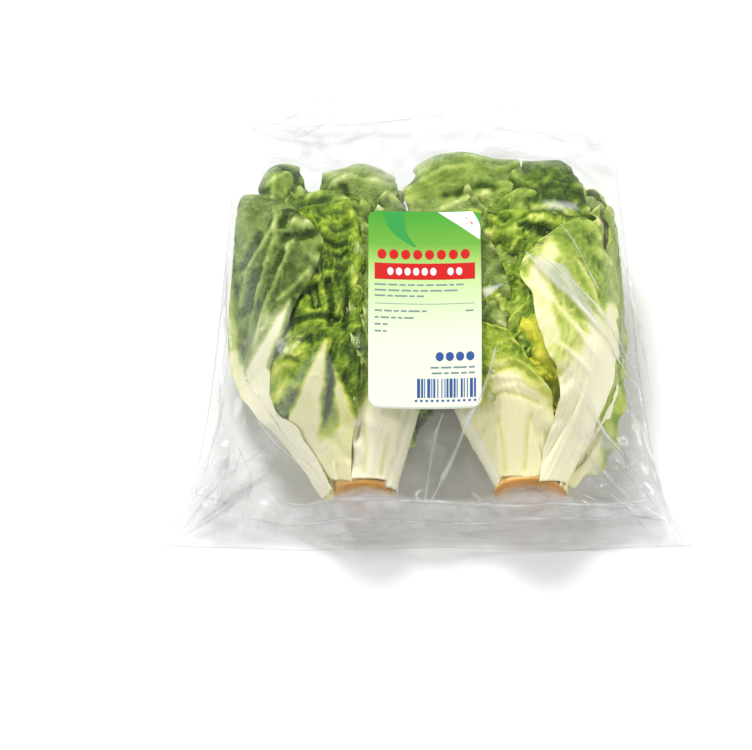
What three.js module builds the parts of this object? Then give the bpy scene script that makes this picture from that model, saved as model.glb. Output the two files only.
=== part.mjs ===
// Pack of two romaine hearts in a clear film bag, lying on its back with the label up.
// Millimetres, +Z up. X runs across the two hearts and +Y from their cut stems to their leaf tips.
// The origin is the middle of the pack's outline, on the surface that the pack rests on.
//
// The bag is one sealed body, so it is one solid: its upper face is a film stretched over the hearts,
// its underside is the film pressed flat under each of them, and both meet in a thin edge all round.
import * as THREE from "three";

// Driving dimensions of the bag
const BAG_LENGTH = 211; // from the stem-end seam to the top seal
const SEAM_WIDTH = 236; // across the stem-end seam, where the film lies flat
const TOP_WIDTH = 173; // across the top seal, where the film is drawn in
const SIDE_TAPER = 42; // how much wider the bag gets from the top seal down to the hearts' stems
const SEAM_FLARE = SEAM_WIDTH - TOP_WIDTH - SIDE_TAPER; // the last widening, out to the seam's corners
const FLARE_REACH = 0.07; // share of the length over which that widening fades
const SEAM_BOW = 3; // how far the seam's corners lie behind its middle
const FILM_EDGE = 1.2; // two layers of film and the air between them
const SEAM_FLANGE = 0.035; // welded band at each end, as a share of the length

// Driving dimensions of the hearts
const STEM_RADIUS = 15;
const HEAD_HALF_WIDTH = 43;
const HEAD_HALF_THICKNESS = 31.5;
const STEM_HALF_THICKNESS = 15;
const STEM_CENTRE_HEIGHT = 19;
const HEAD_FULL_AT = 0.5; // share of a heart's length where it reaches its full width
const TIP_ROUNDING_FROM = 0.8; // share of the length where the leaf tips start to close in
const HEARTS = [
  { stem: [-26, -91], tip: [-47, 57], ribs: [-0.72, -0.28, 0.2, 0.66] },
  { stem: [45, -92], tip: [41, 60], ribs: [-0.6, -0.08, 0.42, 0.8] },
];

// Leaf tips that stand out of the two heads: middle, half sizes across and along, and height
const LEAF_TIPS = [
  { at: [-77, 38], half: [13, 18], top: 45 },
  { at: [-63, 52], half: [13, 18], top: 48 },
  { at: [-46, 44], half: [12, 15], top: 58 },
  { at: [-30, 50], half: [19, 18], top: 50 },
  { at: [-9, 41], half: [11, 15], top: 46 },
  { at: [16, 54], half: [25, 20], top: 52 },
  { at: [40, 50], half: [15, 19], top: 56 },
  { at: [56, 50], half: [19, 20], top: 53 },
  { at: [77, 38], half: [11, 17], top: 45 },
];
const LEAF_TIP_EDGE = 0.74; // height of their edges as a share of their middles

// Relief that shows through the film
const RIB_HEIGHT = 2.6; // pale midribs, which fan out from each stem
const RIB_HALF_WIDTH = 0.13; // as a share of the heart's half width
const RIB_ENDS_AT = 0.62; // share of the heart's length where a rib has faded
const RUFFLE_HEIGHT = 1.5; // curly blades above the ribs
const RUFFLE_PITCH = [19, 23]; // across and along
const CLING = 0.75; // how far the film follows hollows: 0 bridges them, 1 lies in them
const FREE_SAG = 0.6; // how far film with nothing under it sinks towards the film below
const CLING_SPREAD = 4; // how far those two blend into each other, in grid steps
const EDGE_SPREAD = 2; // how far the film rounds the contents' edges, in grid steps

// The valley between the hearts under the pack, where the film is drawn up between them
const VALLEY = { height: 19, halfWidth: 11, from: -86, to: 66, fade: 26, rim: 0.5 };

// The label: a sticker that bridges the valley between the hearts
const LABEL_WIDTH = 49;
const LABEL_LENGTH = 87;
const LABEL_CORNER = 4;
const LABEL_THICKNESS = 0.5;
const LABEL_GAP = 0.3; // glue line
const LABEL_CENTRE = [-1.3, -11];
const LABEL_HEIGHT = 62; // of its long edges, halfway along
const LABEL_SLOPE = 0.13; // rise towards the leaf tips
const LABEL_BOW = 0.0029; // downward bend along its length, per millimetre squared
const LABEL_SAG = 2.2; // how much lower its middle line is than its long edges
const LABEL_MARGIN = 3; // film around the sticker that it holds in the same curve

// The fold across the stems, where the bag's end turns down to its seam
const END_FOLD = { y: -91, from: -62, to: 98, height: 29, endHeight: 9, run: 34, halfWidth: 1.9 };

// Pleats where the film is pulled tight: ends, height and half width
const FOLDS = [
  { from: [-3, -50], to: [-6, -93], rise: 3, halfWidth: 4.5 },
  { from: [24, -46], to: [0, -93], rise: 3, halfWidth: 4.5 },
  { from: [51, -5], to: [97, -55], rise: 3, halfWidth: 4.5 },
  { from: [62, -12], to: [106, -76], rise: 2.6, halfWidth: 4.5 },
  { from: [80, -60], to: [108, -100], rise: 2.6, halfWidth: 5 },
  { from: [-70, -36], to: [-104, -84], rise: 2.6, halfWidth: 5 },
  { from: [-62, -60], to: [-108, -98], rise: 2.8, halfWidth: 5 },
  { from: [-54, -72], to: [-80, -100], rise: 2.2, halfWidth: 4.5 },
  { from: [-88, 16], to: [-64, 72], rise: 1.8, halfWidth: 5 },
  { from: [-34, 60], to: [-54, 99], rise: 2.4, halfWidth: 5 },
  { from: [6, 66], to: [0, 101], rise: 2.4, halfWidth: 5 },
  { from: [58, 60], to: [72, 99], rise: 2.4, halfWidth: 5 },
];

// Fineness of the meshes
const COLUMNS = 72;
const ROWS = 60;
const TENSION_SWEEPS = 900;
const LABEL_COLUMNS = 10;
const LABEL_ROWS = 16;
const CORNER_ROWS = 4;

const clamp01 = (t) => THREE.MathUtils.clamp(t, 0, 1);
const ease = (t) => THREE.MathUtils.smoothstep(t, 0, 1);
const bell = (distance, width) => Math.exp(-((distance / width) ** 2));

// ---- The bag's outline: u runs from -1 at the left edge to 1, v from 0 at the seam to 1 at the seal ----

function halfWidthAt(v) {
  const taper = SIDE_TAPER * (1 - v) ** 2;
  const flare = SEAM_FLARE * Math.exp(-v / FLARE_REACH);
  return (TOP_WIDTH + taper + flare) / 2;
}

function outlinePoint(u, v) {
  const y = (v - 0.5) * BAG_LENGTH + SEAM_BOW * (1 - v) ** 6 * u * u;
  return [u * halfWidthAt(v), y];
}

// Height of the film's edge: low at both ends, and at the hearts' mid height along the sides.
function edgeHeight(u, v) {
  const side = 3 + 23 * bell(v - 0.58, 0.3) + 1.6 * Math.sin(v * 31) * (1 - v);
  const seam = 1.7 + 7 * bell(u - 0.03, 0.3) + 0.8 * Math.sin(u * 17 + 1);
  const seal = 8 + 3.2 * Math.sin(u * 9 + 0.6) + 1.6 * Math.sin(u * 21);
  const nearSeam = bell(v, 0.09);
  const nearSeal = bell(1 - v, 0.1);
  const ends = nearSeam + nearSeal;
  return (seam * nearSeam + seal * nearSeal + side * Math.max(0, 1 - ends)) / Math.max(1, ends);
}

// The nearest point of the edge on the line from the middle of the outline.
function edgeBeyond(u, v) {
  const share = Math.max(Math.abs(u), Math.abs(2 * v - 1), 1e-6);
  return [u / share, 0.5 + (v - 0.5) / share];
}

// How far (u, v) lies in from the edge: 0 on it, 1 in the middle.
const inset = (u, v) => 1 - Math.max(Math.abs(u), Math.abs(2 * v - 1));

// The underside falls from the edge to the table in three steps. From the last one in it lies flat,
// apart from the valley between the hearts.
const UNDERSIDE_RINGS = [
  { inset: 0, share: 1 },
  { inset: 0.05, share: 0.66 },
  { inset: 0.12, share: 0.26 },
  { inset: 0.2, share: 0 },
];

function valleyHeight(x, y) {
  const fade = ease((y - VALLEY.from) / VALLEY.fade) * ease((VALLEY.to - y) / VALLEY.fade);
  return Math.max(0, VALLEY.height * fade * bell(x, VALLEY.halfWidth) - VALLEY.rim);
}

function undersideHeight(u, v) {
  const depth = inset(u, v);
  const edge = Math.max(0, edgeHeight(...edgeBeyond(u, v)) - FILM_EDGE);
  const last = UNDERSIDE_RINGS[UNDERSIDE_RINGS.length - 1];
  if (depth >= last.inset) return valleyHeight(...outlinePoint(u, v));
  const k = UNDERSIDE_RINGS.findIndex((ring) => ring.inset > depth);
  const [outer, inner] = [UNDERSIDE_RINGS[k - 1], UNDERSIDE_RINGS[k]];
  const t = (depth - outer.inset) / (inner.inset - outer.inset);
  return edge * THREE.MathUtils.lerp(outer.share, inner.share, t);
}

// ---- What the film lies on ----

// Position along a heart, 0 at its cut stem and 1 at its tips, and across it, -1 to 1.
function onHeart(heart, x, y) {
  const axis = new THREE.Vector2(heart.tip[0] - heart.stem[0], heart.tip[1] - heart.stem[1]);
  const length = axis.length();
  axis.divideScalar(length);
  const from = new THREE.Vector2(x - heart.stem[0], y - heart.stem[1]);
  const along = from.dot(axis) / length;
  const widening = Math.sin((Math.PI / 2) * clamp01((along - 0.03) / HEAD_FULL_AT));
  const closing = clamp01((along - TIP_ROUNDING_FROM) / (1.04 - TIP_ROUNDING_FROM));
  const halfWidth = (STEM_RADIUS + (HEAD_HALF_WIDTH - STEM_RADIUS) * widening) * Math.sqrt(1 - closing ** 2);
  return { along, widening, closing, across: (axis.y * from.x - axis.x * from.y) / Math.max(halfWidth, 1e-3) };
}

function ribRelief(heart, along, across) {
  const fade = ease(1 - along / RIB_ENDS_AT);
  return heart.ribs.reduce((sum, rib) => sum + RIB_HEIGHT * fade * bell(across - rib, RIB_HALF_WIDTH), 0);
}

function ruffleRelief(x, y, along) {
  const turn = 2 * Math.PI;
  const [slantX, slantY] = [x + 0.35 * y + 5 * Math.sin(y / 11), y - 0.2 * x + 6 * Math.sin(x / 14)];
  const waves = Math.sin((turn * slantX) / RUFFLE_PITCH[0]) * Math.sin((turn * slantY) / RUFFLE_PITCH[1]);
  return RUFFLE_HEIGHT * ease((along - 0.35) / 0.3) * waves;
}

function heartHeight(heart, x, y) {
  const { along, widening, closing, across } = onHeart(heart, x, y);
  if (y < heart.stem[1] || Math.abs(across) >= 1) return 0;
  const halfThickness = THREE.MathUtils.lerp(STEM_HALF_THICKNESS, HEAD_HALF_THICKNESS, widening) * (1 - 0.55 * closing ** 2);
  const centre = THREE.MathUtils.lerp(STEM_CENTRE_HEIGHT, HEAD_HALF_THICKNESS, widening) - 4 * closing;
  const roundness = Math.sqrt(1 - Math.abs(across) ** 2.6);
  const relief = ribRelief(heart, along, across) + ruffleRelief(x, y, along);
  return centre + (halfThickness + relief) * roundness;
}

function leafTipHeight(tip, x, y) {
  const q = Math.hypot((x - tip.at[0]) / tip.half[0], (y - tip.at[1]) / tip.half[1]);
  return q < 1 ? tip.top * THREE.MathUtils.lerp(LEAF_TIP_EDGE, 1, Math.sqrt(1 - q * q)) : 0;
}

function endFoldHeight(x, y) {
  if (Math.abs(y - END_FOLD.y) > END_FOLD.halfWidth) return 0;
  const inFrom = Math.min(x - END_FOLD.from, END_FOLD.to - x);
  if (inFrom < 0) return 0;
  return THREE.MathUtils.lerp(END_FOLD.endHeight, END_FOLD.height, ease(inFrom / END_FOLD.run));
}

function contentsHeight(x, y) {
  const hearts = HEARTS.map((heart) => heartHeight(heart, x, y));
  const tips = LEAF_TIPS.map((tip) => leafTipHeight(tip, x, y));
  return Math.max(...hearts, ...tips, endFoldHeight(x, y));
}

// ---- The label ----

// Height of the film under the sticker, from its own axes: a across it, b along it.
function labelHeight(a, b) {
  const sag = LABEL_SAG * (1 - (a / (LABEL_WIDTH / 2)) ** 2);
  return LABEL_HEIGHT + LABEL_SLOPE * b - LABEL_BOW * b * b - sag;
}

const labelAxes = (x, y) => [x - LABEL_CENTRE[0], y - LABEL_CENTRE[1]];

// 1 under the sticker, falling to 0 over the margin of film that it holds.
function labelHold(a, b) {
  const beyond = Math.hypot(
    Math.max(0, Math.abs(a) - LABEL_WIDTH / 2),
    Math.max(0, Math.abs(b) - LABEL_LENGTH / 2),
  );
  return clamp01(2 - beyond / LABEL_MARGIN);
}

// ---- The film over the hearts ----

function foldHeight(x, y) {
  let height = 0;
  for (const { from, to, rise, halfWidth } of FOLDS) {
    const run = new THREE.Vector2(to[0] - from[0], to[1] - from[1]);
    const t = new THREE.Vector2(x - from[0], y - from[1]).dot(run) / run.lengthSq();
    const off = Math.hypot(x - from[0] - t * run.x, y - from[1] - t * run.y);
    if (t <= 0 || t >= 1) continue;
    height = Math.max(height, rise * Math.sin(Math.PI * t) ** 0.6 * Math.max(0, 1 - off / halfWidth));
  }
  return height;
}

// Heights of the film's upper face on the grid: a tight film stretched over the contents from the edge,
// let down part of the way into the hollows, with the label's own curve under the label.
function filmHeights() {
  const spots = [];
  for (let j = 0; j <= ROWS; j++)
    for (let i = 0; i <= COLUMNS; i++) {
      const [u, v] = [(2 * i) / COLUMNS - 1, j / ROWS];
      const [x, y] = outlinePoint(u, v);
      const [a, b] = labelAxes(x, y);
      const atEdge = i === 0 || i === COLUMNS || j === 0 || j === ROWS;
      const onFlange = Math.min(v, 1 - v) < SEAM_FLANGE;
      const floor = undersideHeight(u, v) + FILM_EDGE;
      const hold = labelHold(a, b);
      const rest = Math.max(floor, contentsHeight(x, y));
      spots.push({ x, y, floor, hold, held: labelHeight(a, b), rest, fixed: atEdge || onFlange, z: rest });
    }
  const stride = COLUMNS + 1;
  for (const spot of spots) {
    if (spot.fixed) spot.z = spot.floor;
    if (spot.hold === 1) spot.z = spot.held;
  }
  for (let sweep = 0; sweep < TENSION_SWEEPS; sweep++)
    spots.forEach((spot, k) => {
      if (spot.fixed || spot.hold === 1) return;
      const mean = (spots[k - 1].z + spots[k + 1].z + spots[k - stride].z + spots[k + stride].z) / 4;
      spot.z = Math.max(spot.rest, mean);
    });
  // Each free spot takes the average of itself and its four neighbours.
  const spread = (key) => {
    const before = spots.map((spot) => spot[key]);
    spots.forEach((spot, k) => {
      if (spot.fixed) return;
      const around = before[k - 1] + before[k + 1] + before[k - stride] + before[k + stride];
      spot[key] = (before[k] + around) / 5;
    });
  };
  // Where it lies over the contents the film clings to them, and elsewhere it sinks.
  for (const spot of spots) spot.drop = (spot.rest > spot.floor ? CLING : FREE_SAG) * (spot.z - spot.rest);
  for (let pass = 0; pass < CLING_SPREAD; pass++) spread("drop");
  for (let pass = 0; pass < EDGE_SPREAD; pass++) spread("rest");
  for (const spot of spots) if (!spot.fixed) spot.z = Math.max(spot.z - spot.drop, spot.rest);
  for (let pass = 0; pass < 2; pass++) spread("z");
  for (const spot of spots) {
    if (spot.fixed) continue;
    const folded = spot.z + foldHeight(spot.x, spot.y);
    spot.z = Math.max(spot.floor, THREE.MathUtils.lerp(folded, spot.held, ease(spot.hold)));
  }
  return spots;
}

// Collects vertices and triangles of one closed mesh.
function meshBuilder() {
  const places = [];
  const corners = [];
  return {
    point: (x, y, z) => places.push(x, y, z) / 3 - 1,
    triangle: (a, b, c) => corners.push(a, b, c),
    quad: (a, b, c, d) => corners.push(a, b, c, a, c, d),
    geometry() {
      const made = new THREE.BufferGeometry();
      made.setAttribute("position", new THREE.Float32BufferAttribute(places, 3));
      made.setIndex(corners);
      made.computeVertexNormals();
      return made;
    },
  };
}

function bagGeometry() {
  const mesh = meshBuilder();
  const stride = COLUMNS + 1;
  const top = filmHeights().map(({ x, y, z }) => mesh.point(x, y, z));
  for (let j = 0; j < ROWS; j++)
    for (let i = 0; i < COLUMNS; i++) {
      const k = j * stride + i;
      mesh.quad(top[k], top[k + 1], top[k + stride + 1], top[k + stride]);
    }

  // The underside's cells are twice as large each way. Those at the rim also take its points halfway.
  const bottom = new Map();
  const under = ([i, j]) => {
    const key = j * stride + i;
    if (!bottom.has(key)) {
      const [u, v] = [(2 * i) / COLUMNS - 1, j / ROWS];
      const [x, y] = outlinePoint(u, v);
      bottom.set(key, mesh.point(x, y, undersideHeight(u, v)));
    }
    return bottom.get(key);
  };
  for (let j = 0; j < ROWS; j += 2)
    for (let i = 0; i < COLUMNS; i += 2) {
      const [right, back] = [i + 2, j + 2];
      // Counterclockwise from above
      const border = [[i, j], [right, j], [right, back], [i, back]];
      if (i === 0) border.splice(4, 0, [i, j + 1]);
      if (back === ROWS) border.splice(3, 0, [i + 1, back]);
      if (right === COLUMNS) border.splice(2, 0, [right, j + 1]);
      if (j === 0) border.splice(1, 0, [i + 1, j]);
      // The fan starts at the corner nearest the middle, which no halfway point lies next to.
      const inner = [right * 2 > COLUMNS ? i : right, back * 2 > ROWS ? j : back];
      const start = border.findIndex(([column, row]) => column === inner[0] && row === inner[1]);
      const fan = [...border.slice(start), ...border.slice(0, start)].map(under);
      for (let k = 1; k < fan.length - 1; k++) mesh.triangle(fan[0], fan[k + 1], fan[k]);
    }

  // Once round the outline, counterclockwise from above: grid column, grid row.
  const rim = [];
  for (let i = 0; i < COLUMNS; i++) rim.push([i, 0]);
  for (let j = 0; j < ROWS; j++) rim.push([COLUMNS, j]);
  for (let i = COLUMNS; i > 0; i--) rim.push([i, ROWS]);
  for (let j = ROWS; j > 0; j--) rim.push([0, j]);
  rim.forEach(([i, j], k) => {
    const [nextI, nextJ] = rim[(k + 1) % rim.length];
    mesh.quad(under([i, j]), under([nextI, nextJ]), top[nextJ * stride + nextI], top[j * stride + i]);
  });
  return mesh.geometry();
}

// The sticker's outline as rows across it: distance along, and half width with the corners rounded.
function labelRows() {
  const straight = LABEL_LENGTH / 2 - LABEL_CORNER;
  const rows = [];
  for (let k = 0; k <= CORNER_ROWS; k++) {
    const angle = ((Math.PI / 2) * k) / CORNER_ROWS;
    const back = LABEL_CORNER * (1 - Math.sin(angle));
    rows.push({ b: straight + LABEL_CORNER * Math.cos(angle), half: LABEL_WIDTH / 2 - back });
  }
  const middle = [];
  for (let k = 1; k < LABEL_ROWS; k++)
    middle.push({ b: straight * (1 - (2 * k) / LABEL_ROWS), half: LABEL_WIDTH / 2 });
  const mirrored = rows.map(({ b, half }) => ({ b: -b, half })).reverse();
  return [...rows, ...middle, ...mirrored];
}

function labelGeometry() {
  const mesh = meshBuilder();
  const [lower, upper] = [LABEL_GAP, LABEL_GAP + LABEL_THICKNESS].map((lift) =>
    labelRows().map(({ b, half }) =>
      Array.from({ length: LABEL_COLUMNS + 1 }, (_, i) => {
        const a = half * ((2 * i) / LABEL_COLUMNS - 1);
        return mesh.point(a, b, labelHeight(a, b) - LABEL_HEIGHT + lift);
      }),
    ),
  );
  const last = upper.length - 1;
  for (let r = 0; r < last; r++) {
    for (let i = 0; i < LABEL_COLUMNS; i++) {
      mesh.quad(upper[r][i], upper[r + 1][i], upper[r + 1][i + 1], upper[r][i + 1]);
      mesh.quad(lower[r][i], lower[r][i + 1], lower[r + 1][i + 1], lower[r + 1][i]);
    }
    mesh.quad(upper[r][0], lower[r][0], lower[r + 1][0], upper[r + 1][0]);
    const right = LABEL_COLUMNS;
    mesh.quad(upper[r][right], upper[r + 1][right], lower[r + 1][right], lower[r][right]);
  }
  for (let i = 0; i < LABEL_COLUMNS; i++) {
    mesh.quad(upper[0][i], upper[0][i + 1], lower[0][i + 1], lower[0][i]);
    mesh.quad(upper[last][i + 1], upper[last][i], lower[last][i], lower[last][i + 1]);
  }
  return mesh.geometry();
}

const lettuceUnderFilm = new THREE.MeshStandardMaterial({ color: 0xa9c565, roughness: 0.25, metalness: 0 });
const labelPaper = new THREE.MeshStandardMaterial({ color: 0xeff7e6, roughness: 0.35, metalness: 0 });

const bag = new THREE.Mesh(bagGeometry(), lettuceUnderFilm);
bag.name = "bag";

const label = new THREE.Mesh(labelGeometry(), labelPaper);
label.name = "label";
label.position.set(...LABEL_CENTRE, LABEL_HEIGHT);

const pack = new THREE.Group();
pack.add(bag, label);

export default pack;
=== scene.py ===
"""Looks of a pack of two romaine hearts: leaves, cut stems, clear film bag and printed sticker."""

import math
from typing import NamedTuple

import bpy
import numpy as np
from bpy.props import FloatProperty, FloatVectorProperty, PointerProperty
from mathutils import Matrix, Vector
from mathutils.bvhtree import BVHTree


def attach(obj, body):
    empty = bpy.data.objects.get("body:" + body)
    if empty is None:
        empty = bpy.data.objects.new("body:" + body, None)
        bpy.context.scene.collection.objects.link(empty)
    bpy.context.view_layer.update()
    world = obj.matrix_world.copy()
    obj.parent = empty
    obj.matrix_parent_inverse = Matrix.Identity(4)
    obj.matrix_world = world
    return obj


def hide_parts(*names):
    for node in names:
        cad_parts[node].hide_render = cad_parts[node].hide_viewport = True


bl_info = {
    "name": "Romaine hearts pack",
    "version": (1, 0, 0),
    "blender": (4, 5, 0),
    "location": "View3D > Sidebar > Salad pack",
    "description": "Builds two romaine hearts in a clear film bag with a sticker",
    "category": "Add Mesh",
}

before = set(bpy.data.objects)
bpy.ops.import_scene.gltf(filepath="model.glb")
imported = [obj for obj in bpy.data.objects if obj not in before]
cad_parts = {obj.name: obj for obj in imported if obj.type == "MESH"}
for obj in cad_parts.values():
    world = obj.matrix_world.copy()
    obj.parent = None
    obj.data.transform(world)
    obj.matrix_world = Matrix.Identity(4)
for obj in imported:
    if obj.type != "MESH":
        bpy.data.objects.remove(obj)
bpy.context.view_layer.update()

MM = 0.001
BODY = "root"


# ---------------------------------------------------------------- shaping helpers


def smooth(t):
    """0 below 0, 1 above 1, and an even rise between."""
    t = np.clip(t, 0.0, 1.0)
    return t * t * (3.0 - 2.0 * t)


def mix(a, b, t):
    return a + (b - a) * t


def bell(distance, width):
    return np.exp(-((distance / width) ** 2))


NOISE_CELLS = 64


def noise_corners(x, y, seed):
    """Random values at the four corners of each point's cell, and where in its cell the point lies."""
    table = np.random.default_rng(seed).random((NOISE_CELLS, NOISE_CELLS)) * 2.0 - 1.0
    i, j = np.floor(x).astype(int), np.floor(y).astype(int)
    steps = ((0, 0), (1, 0), (0, 1), (1, 1))
    return [table[(i + di) % NOISE_CELLS, (j + dj) % NOISE_CELLS] for di, dj in steps], x - i, y - j


def soft_noise(x, y, seed):
    """Smooth noise from -1 to 1 with a bump about every unit."""
    (c00, c10, c01, c11), fx, fy = noise_corners(x, y, seed)
    fx, fy = smooth(fx), smooth(fy)
    return mix(mix(c00, c10, fx), mix(c01, c11, fx), fy)


def facets(x, y, seed):
    """Noise of flat triangles that meet in straight creases, from -1 to 1, about a unit wide."""
    y = y / 0.866
    (c00, c10, c01, c11), fx, fy = noise_corners(x - 0.5 * y, y, seed)
    near = c00 + fx * (c10 - c00) + fy * (c01 - c00)
    far = c11 + (1 - fx) * (c01 - c11) + (1 - fy) * (c10 - c11)
    return np.where(fx + fy < 1, near, far)


def turned(x, y, degrees, size):
    """Coordinates turned and scaled, for a layer of noise."""
    c, s = math.cos(math.radians(degrees)), math.sin(math.radians(degrees))
    return (c * x - s * y) / size + 20, (s * x + c * y) / size + 20


PROFILE_BLUR = 6.0
PROFILE_REACH = 15


def profile(knots, at):
    """A rounded curve through (place, value) knots, in millimetres."""
    places = np.arange(-40.0, 221.0)
    values = np.interp(places, [k[0] for k in knots], [k[1] for k in knots])
    weights = np.exp(-((np.arange(-PROFILE_REACH, PROFILE_REACH + 1) / PROFILE_BLUR) ** 2))
    padded = np.pad(values, PROFILE_REACH, mode="edge")
    values = np.convolve(padded, weights / weights.sum(), mode="valid")
    return np.interp(at, places, values)


def curve(knots, t):
    """Smooth curve through knots that lie at even steps of t, from 0 to 1: numbers or points."""
    knots = np.array(knots, dtype=float)
    knots = knots.reshape(len(knots), -1)
    last = len(knots) - 1
    padded = np.vstack([2 * knots[0] - knots[1], knots, 2 * knots[-1] - knots[-2]])
    at = np.clip(t, 0, 1) * last
    i = np.minimum(at.astype(int), last - 1)
    u = (at - i)[..., None]
    p0, p1, p2, p3 = (padded[i + k] for k in range(4))
    points = p1 + 0.5 * u * (p2 - p0 + u * (2 * p0 - 5 * p1 + 4 * p2 - p3 + u * (3 * p1 - p0 - 3 * p2 + p3)))
    return [points[..., k] for k in range(points.shape[-1])]


def to_line(knots, x, y):
    """Distance from each point to a line of straight runs, and how far along it, from 0 to 1."""
    runs = list(zip(knots[:-1], knots[1:]))
    lengths = [math.dist(a, b) for a, b in runs]
    best, place, gone = np.full(x.shape, 1e9), np.zeros(x.shape), 0.0
    for ((x0, y0), (x1, y1)), length in zip(runs, lengths):
        t = np.clip(((x - x0) * (x1 - x0) + (y - y0) * (y1 - y0)) / length**2, 0, 1)
        away = np.hypot(x - x0 - t * (x1 - x0), y - y0 - t * (y1 - y0))
        nearer = away < best
        best = np.where(nearer, away, best)
        place = np.where(nearer, (gone + t * length) / sum(lengths), place)
        gone += length
    return best, place


# ---------------------------------------------------------------- the bag's form

BAG_LENGTH = 211.0
SEAM_WIDTH = 236.0
TOP_WIDTH = 173.0
SIDE_TAPER = 42.0
FLARE_REACH = 0.07
SEAM_BOW = 3.0


def half_width(v):
    """Half of the bag's width, from its seam at v = 0 to its top at 1."""
    flare = (SEAM_WIDTH - TOP_WIDTH - SIDE_TAPER) * np.exp(-v / FLARE_REACH)
    return (TOP_WIDTH + SIDE_TAPER * (1 - v) ** 2 + flare) / 2


def outline(u, v):
    return u * half_width(v), (v - 0.5) * BAG_LENGTH + SEAM_BOW * (1 - v) ** 6 * u * u


class BagForm:
    """Heights of the CAD bag's upper and lower faces, in millimetres, read once onto a grid."""

    STEP = 1.5
    BLUR_PASSES = 4

    def __init__(self, node):
        mesh = node.data
        mesh.calc_loop_triangles()
        corners = [tuple(v.co) for v in mesh.vertices]
        faces = [tuple(t.vertices) for t in mesh.loop_triangles]
        self.tree = BVHTree.FromPolygons(corners, faces)
        self.x = np.arange(-121.5, 122.0, self.STEP)
        self.y = np.arange(-108.0, 108.5, self.STEP)
        self.upper, self.lower = (self._blur(self._read(side)) for side in (1.0, -1.0))

    def _read(self, side):
        heights = np.full((len(self.y), len(self.x)), np.nan)
        away = Vector((0, 0, -side))
        for j, y in enumerate(self.y):
            for i, x in enumerate(self.x):
                hit = self.tree.ray_cast(Vector((x * MM, y * MM, side * 0.3)), away)
                if hit[0] is not None:
                    heights[j, i] = hit[0].z / MM
        while np.isnan(heights).any():
            grown = np.pad(heights, 1, constant_values=np.nan)
            around = np.stack([grown[:-2, 1:-1], grown[2:, 1:-1], grown[1:-1, :-2], grown[1:-1, 2:]])
            known = ~np.isnan(around)
            mean = np.where(known, around, 0.0).sum(0) / np.maximum(known.sum(0), 1)
            fill = np.isnan(heights) & known.any(0)
            heights[fill] = mean[fill]
        return heights

    def _blur(self, heights):
        """Rounds off the CAD facets."""
        for _ in range(self.BLUR_PASSES):
            g = np.pad(heights, 1, mode="edge")
            heights = (
                4 * g[1:-1, 1:-1]
                + 2 * (g[:-2, 1:-1] + g[2:, 1:-1] + g[1:-1, :-2] + g[1:-1, 2:])
                + g[:-2, :-2] + g[:-2, 2:] + g[2:, :-2] + g[2:, 2:]
            ) / 16
        return heights

    def _at(self, heights, x, y):
        fi = np.clip((x - self.x[0]) / self.STEP, 0, len(self.x) - 1.001)
        fj = np.clip((y - self.y[0]) / self.STEP, 0, len(self.y) - 1.001)
        i, j = fi.astype(int), fj.astype(int)
        tx, ty = fi - i, fj - j
        low = mix(heights[j, i], heights[j, i + 1], tx)
        high = mix(heights[j + 1, i], heights[j + 1, i + 1], tx)
        return mix(low, high, ty)

    def top(self, x, y):
        return self._at(self.upper, x, y)

    def bottom(self, x, y):
        return self._at(self.lower, x, y)


BAG = BagForm(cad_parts["bag"])


SIDE_MARGIN = 2.0
PRESS_SOFTNESS = 1.2


def inside_bag(x, y, z, clear):
    """Presses points in under the film, at least clear millimetres from it."""
    side = half_width(np.clip(y / BAG_LENGTH + 0.5, 0, 1)) - SIDE_MARGIN - clear
    x = np.clip(x, -side, side)
    soft = PRESS_SOFTNESS
    ceiling = BAG.top(x, y) - clear
    floor = BAG.bottom(x, y) + 0.4 + 0.4 * clear
    z = -soft * np.logaddexp(-z / soft, -ceiling / soft)
    return x, y, soft * np.logaddexp(z / soft, floor / soft)


# ---------------------------------------------------------------- mesh helpers


def clear_selection():
    if bpy.context.object is not None and bpy.context.object.mode != "OBJECT":
        bpy.ops.object.mode_set(mode="OBJECT")
    bpy.ops.object.select_all(action="DESELECT")


def select_only(*pieces):
    clear_selection()
    for piece in pieces:
        piece.select_set(True)
    bpy.context.view_layer.objects.active = pieces[0]


def edit_all(piece, *steps):
    """Runs mesh operators on a whole piece."""
    select_only(piece)
    bpy.ops.object.mode_set(mode="EDIT")
    bpy.ops.mesh.select_all(action="SELECT")
    for step in steps:
        step()
    bpy.ops.object.mode_set(mode="OBJECT")


def new_grid(name, columns, rows):
    """A flat grid, and its corners' places: a from -1 to 1 across and b from 0 to 1 along."""
    clear_selection()
    bpy.ops.mesh.primitive_grid_add(x_subdivisions=columns, y_subdivisions=rows, size=2.0)
    piece = bpy.context.object
    piece.name = piece.data.name = name
    flat = np.empty(len(piece.data.vertices) * 3)
    piece.data.vertices.foreach_get("co", flat)
    flat = flat.reshape(-1, 3)
    i = np.rint((flat[:, 0] + 1) / 2 * columns).astype(int)
    j = np.rint((flat[:, 1] + 1) / 2 * rows).astype(int)
    a, b = np.meshgrid(np.linspace(-1, 1, columns + 1), np.linspace(0, 1, rows + 1))
    return piece, (j, i), a, b


def set_places(piece, spot, x, y, z):
    """Moves the grid's corners to x, y, z, given in millimetres."""
    places = np.stack([x[spot], y[spot], z[spot]], axis=1) * MM
    piece.data.vertices.foreach_set("co", places.ravel())
    piece.data.update()


def set_values(piece, spot, name, values):
    attribute = piece.data.attributes.new(name, "FLOAT", "POINT")
    attribute.data.foreach_set("value", values[spot].astype(np.float32))


UV_UNIT = 0.01


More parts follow.
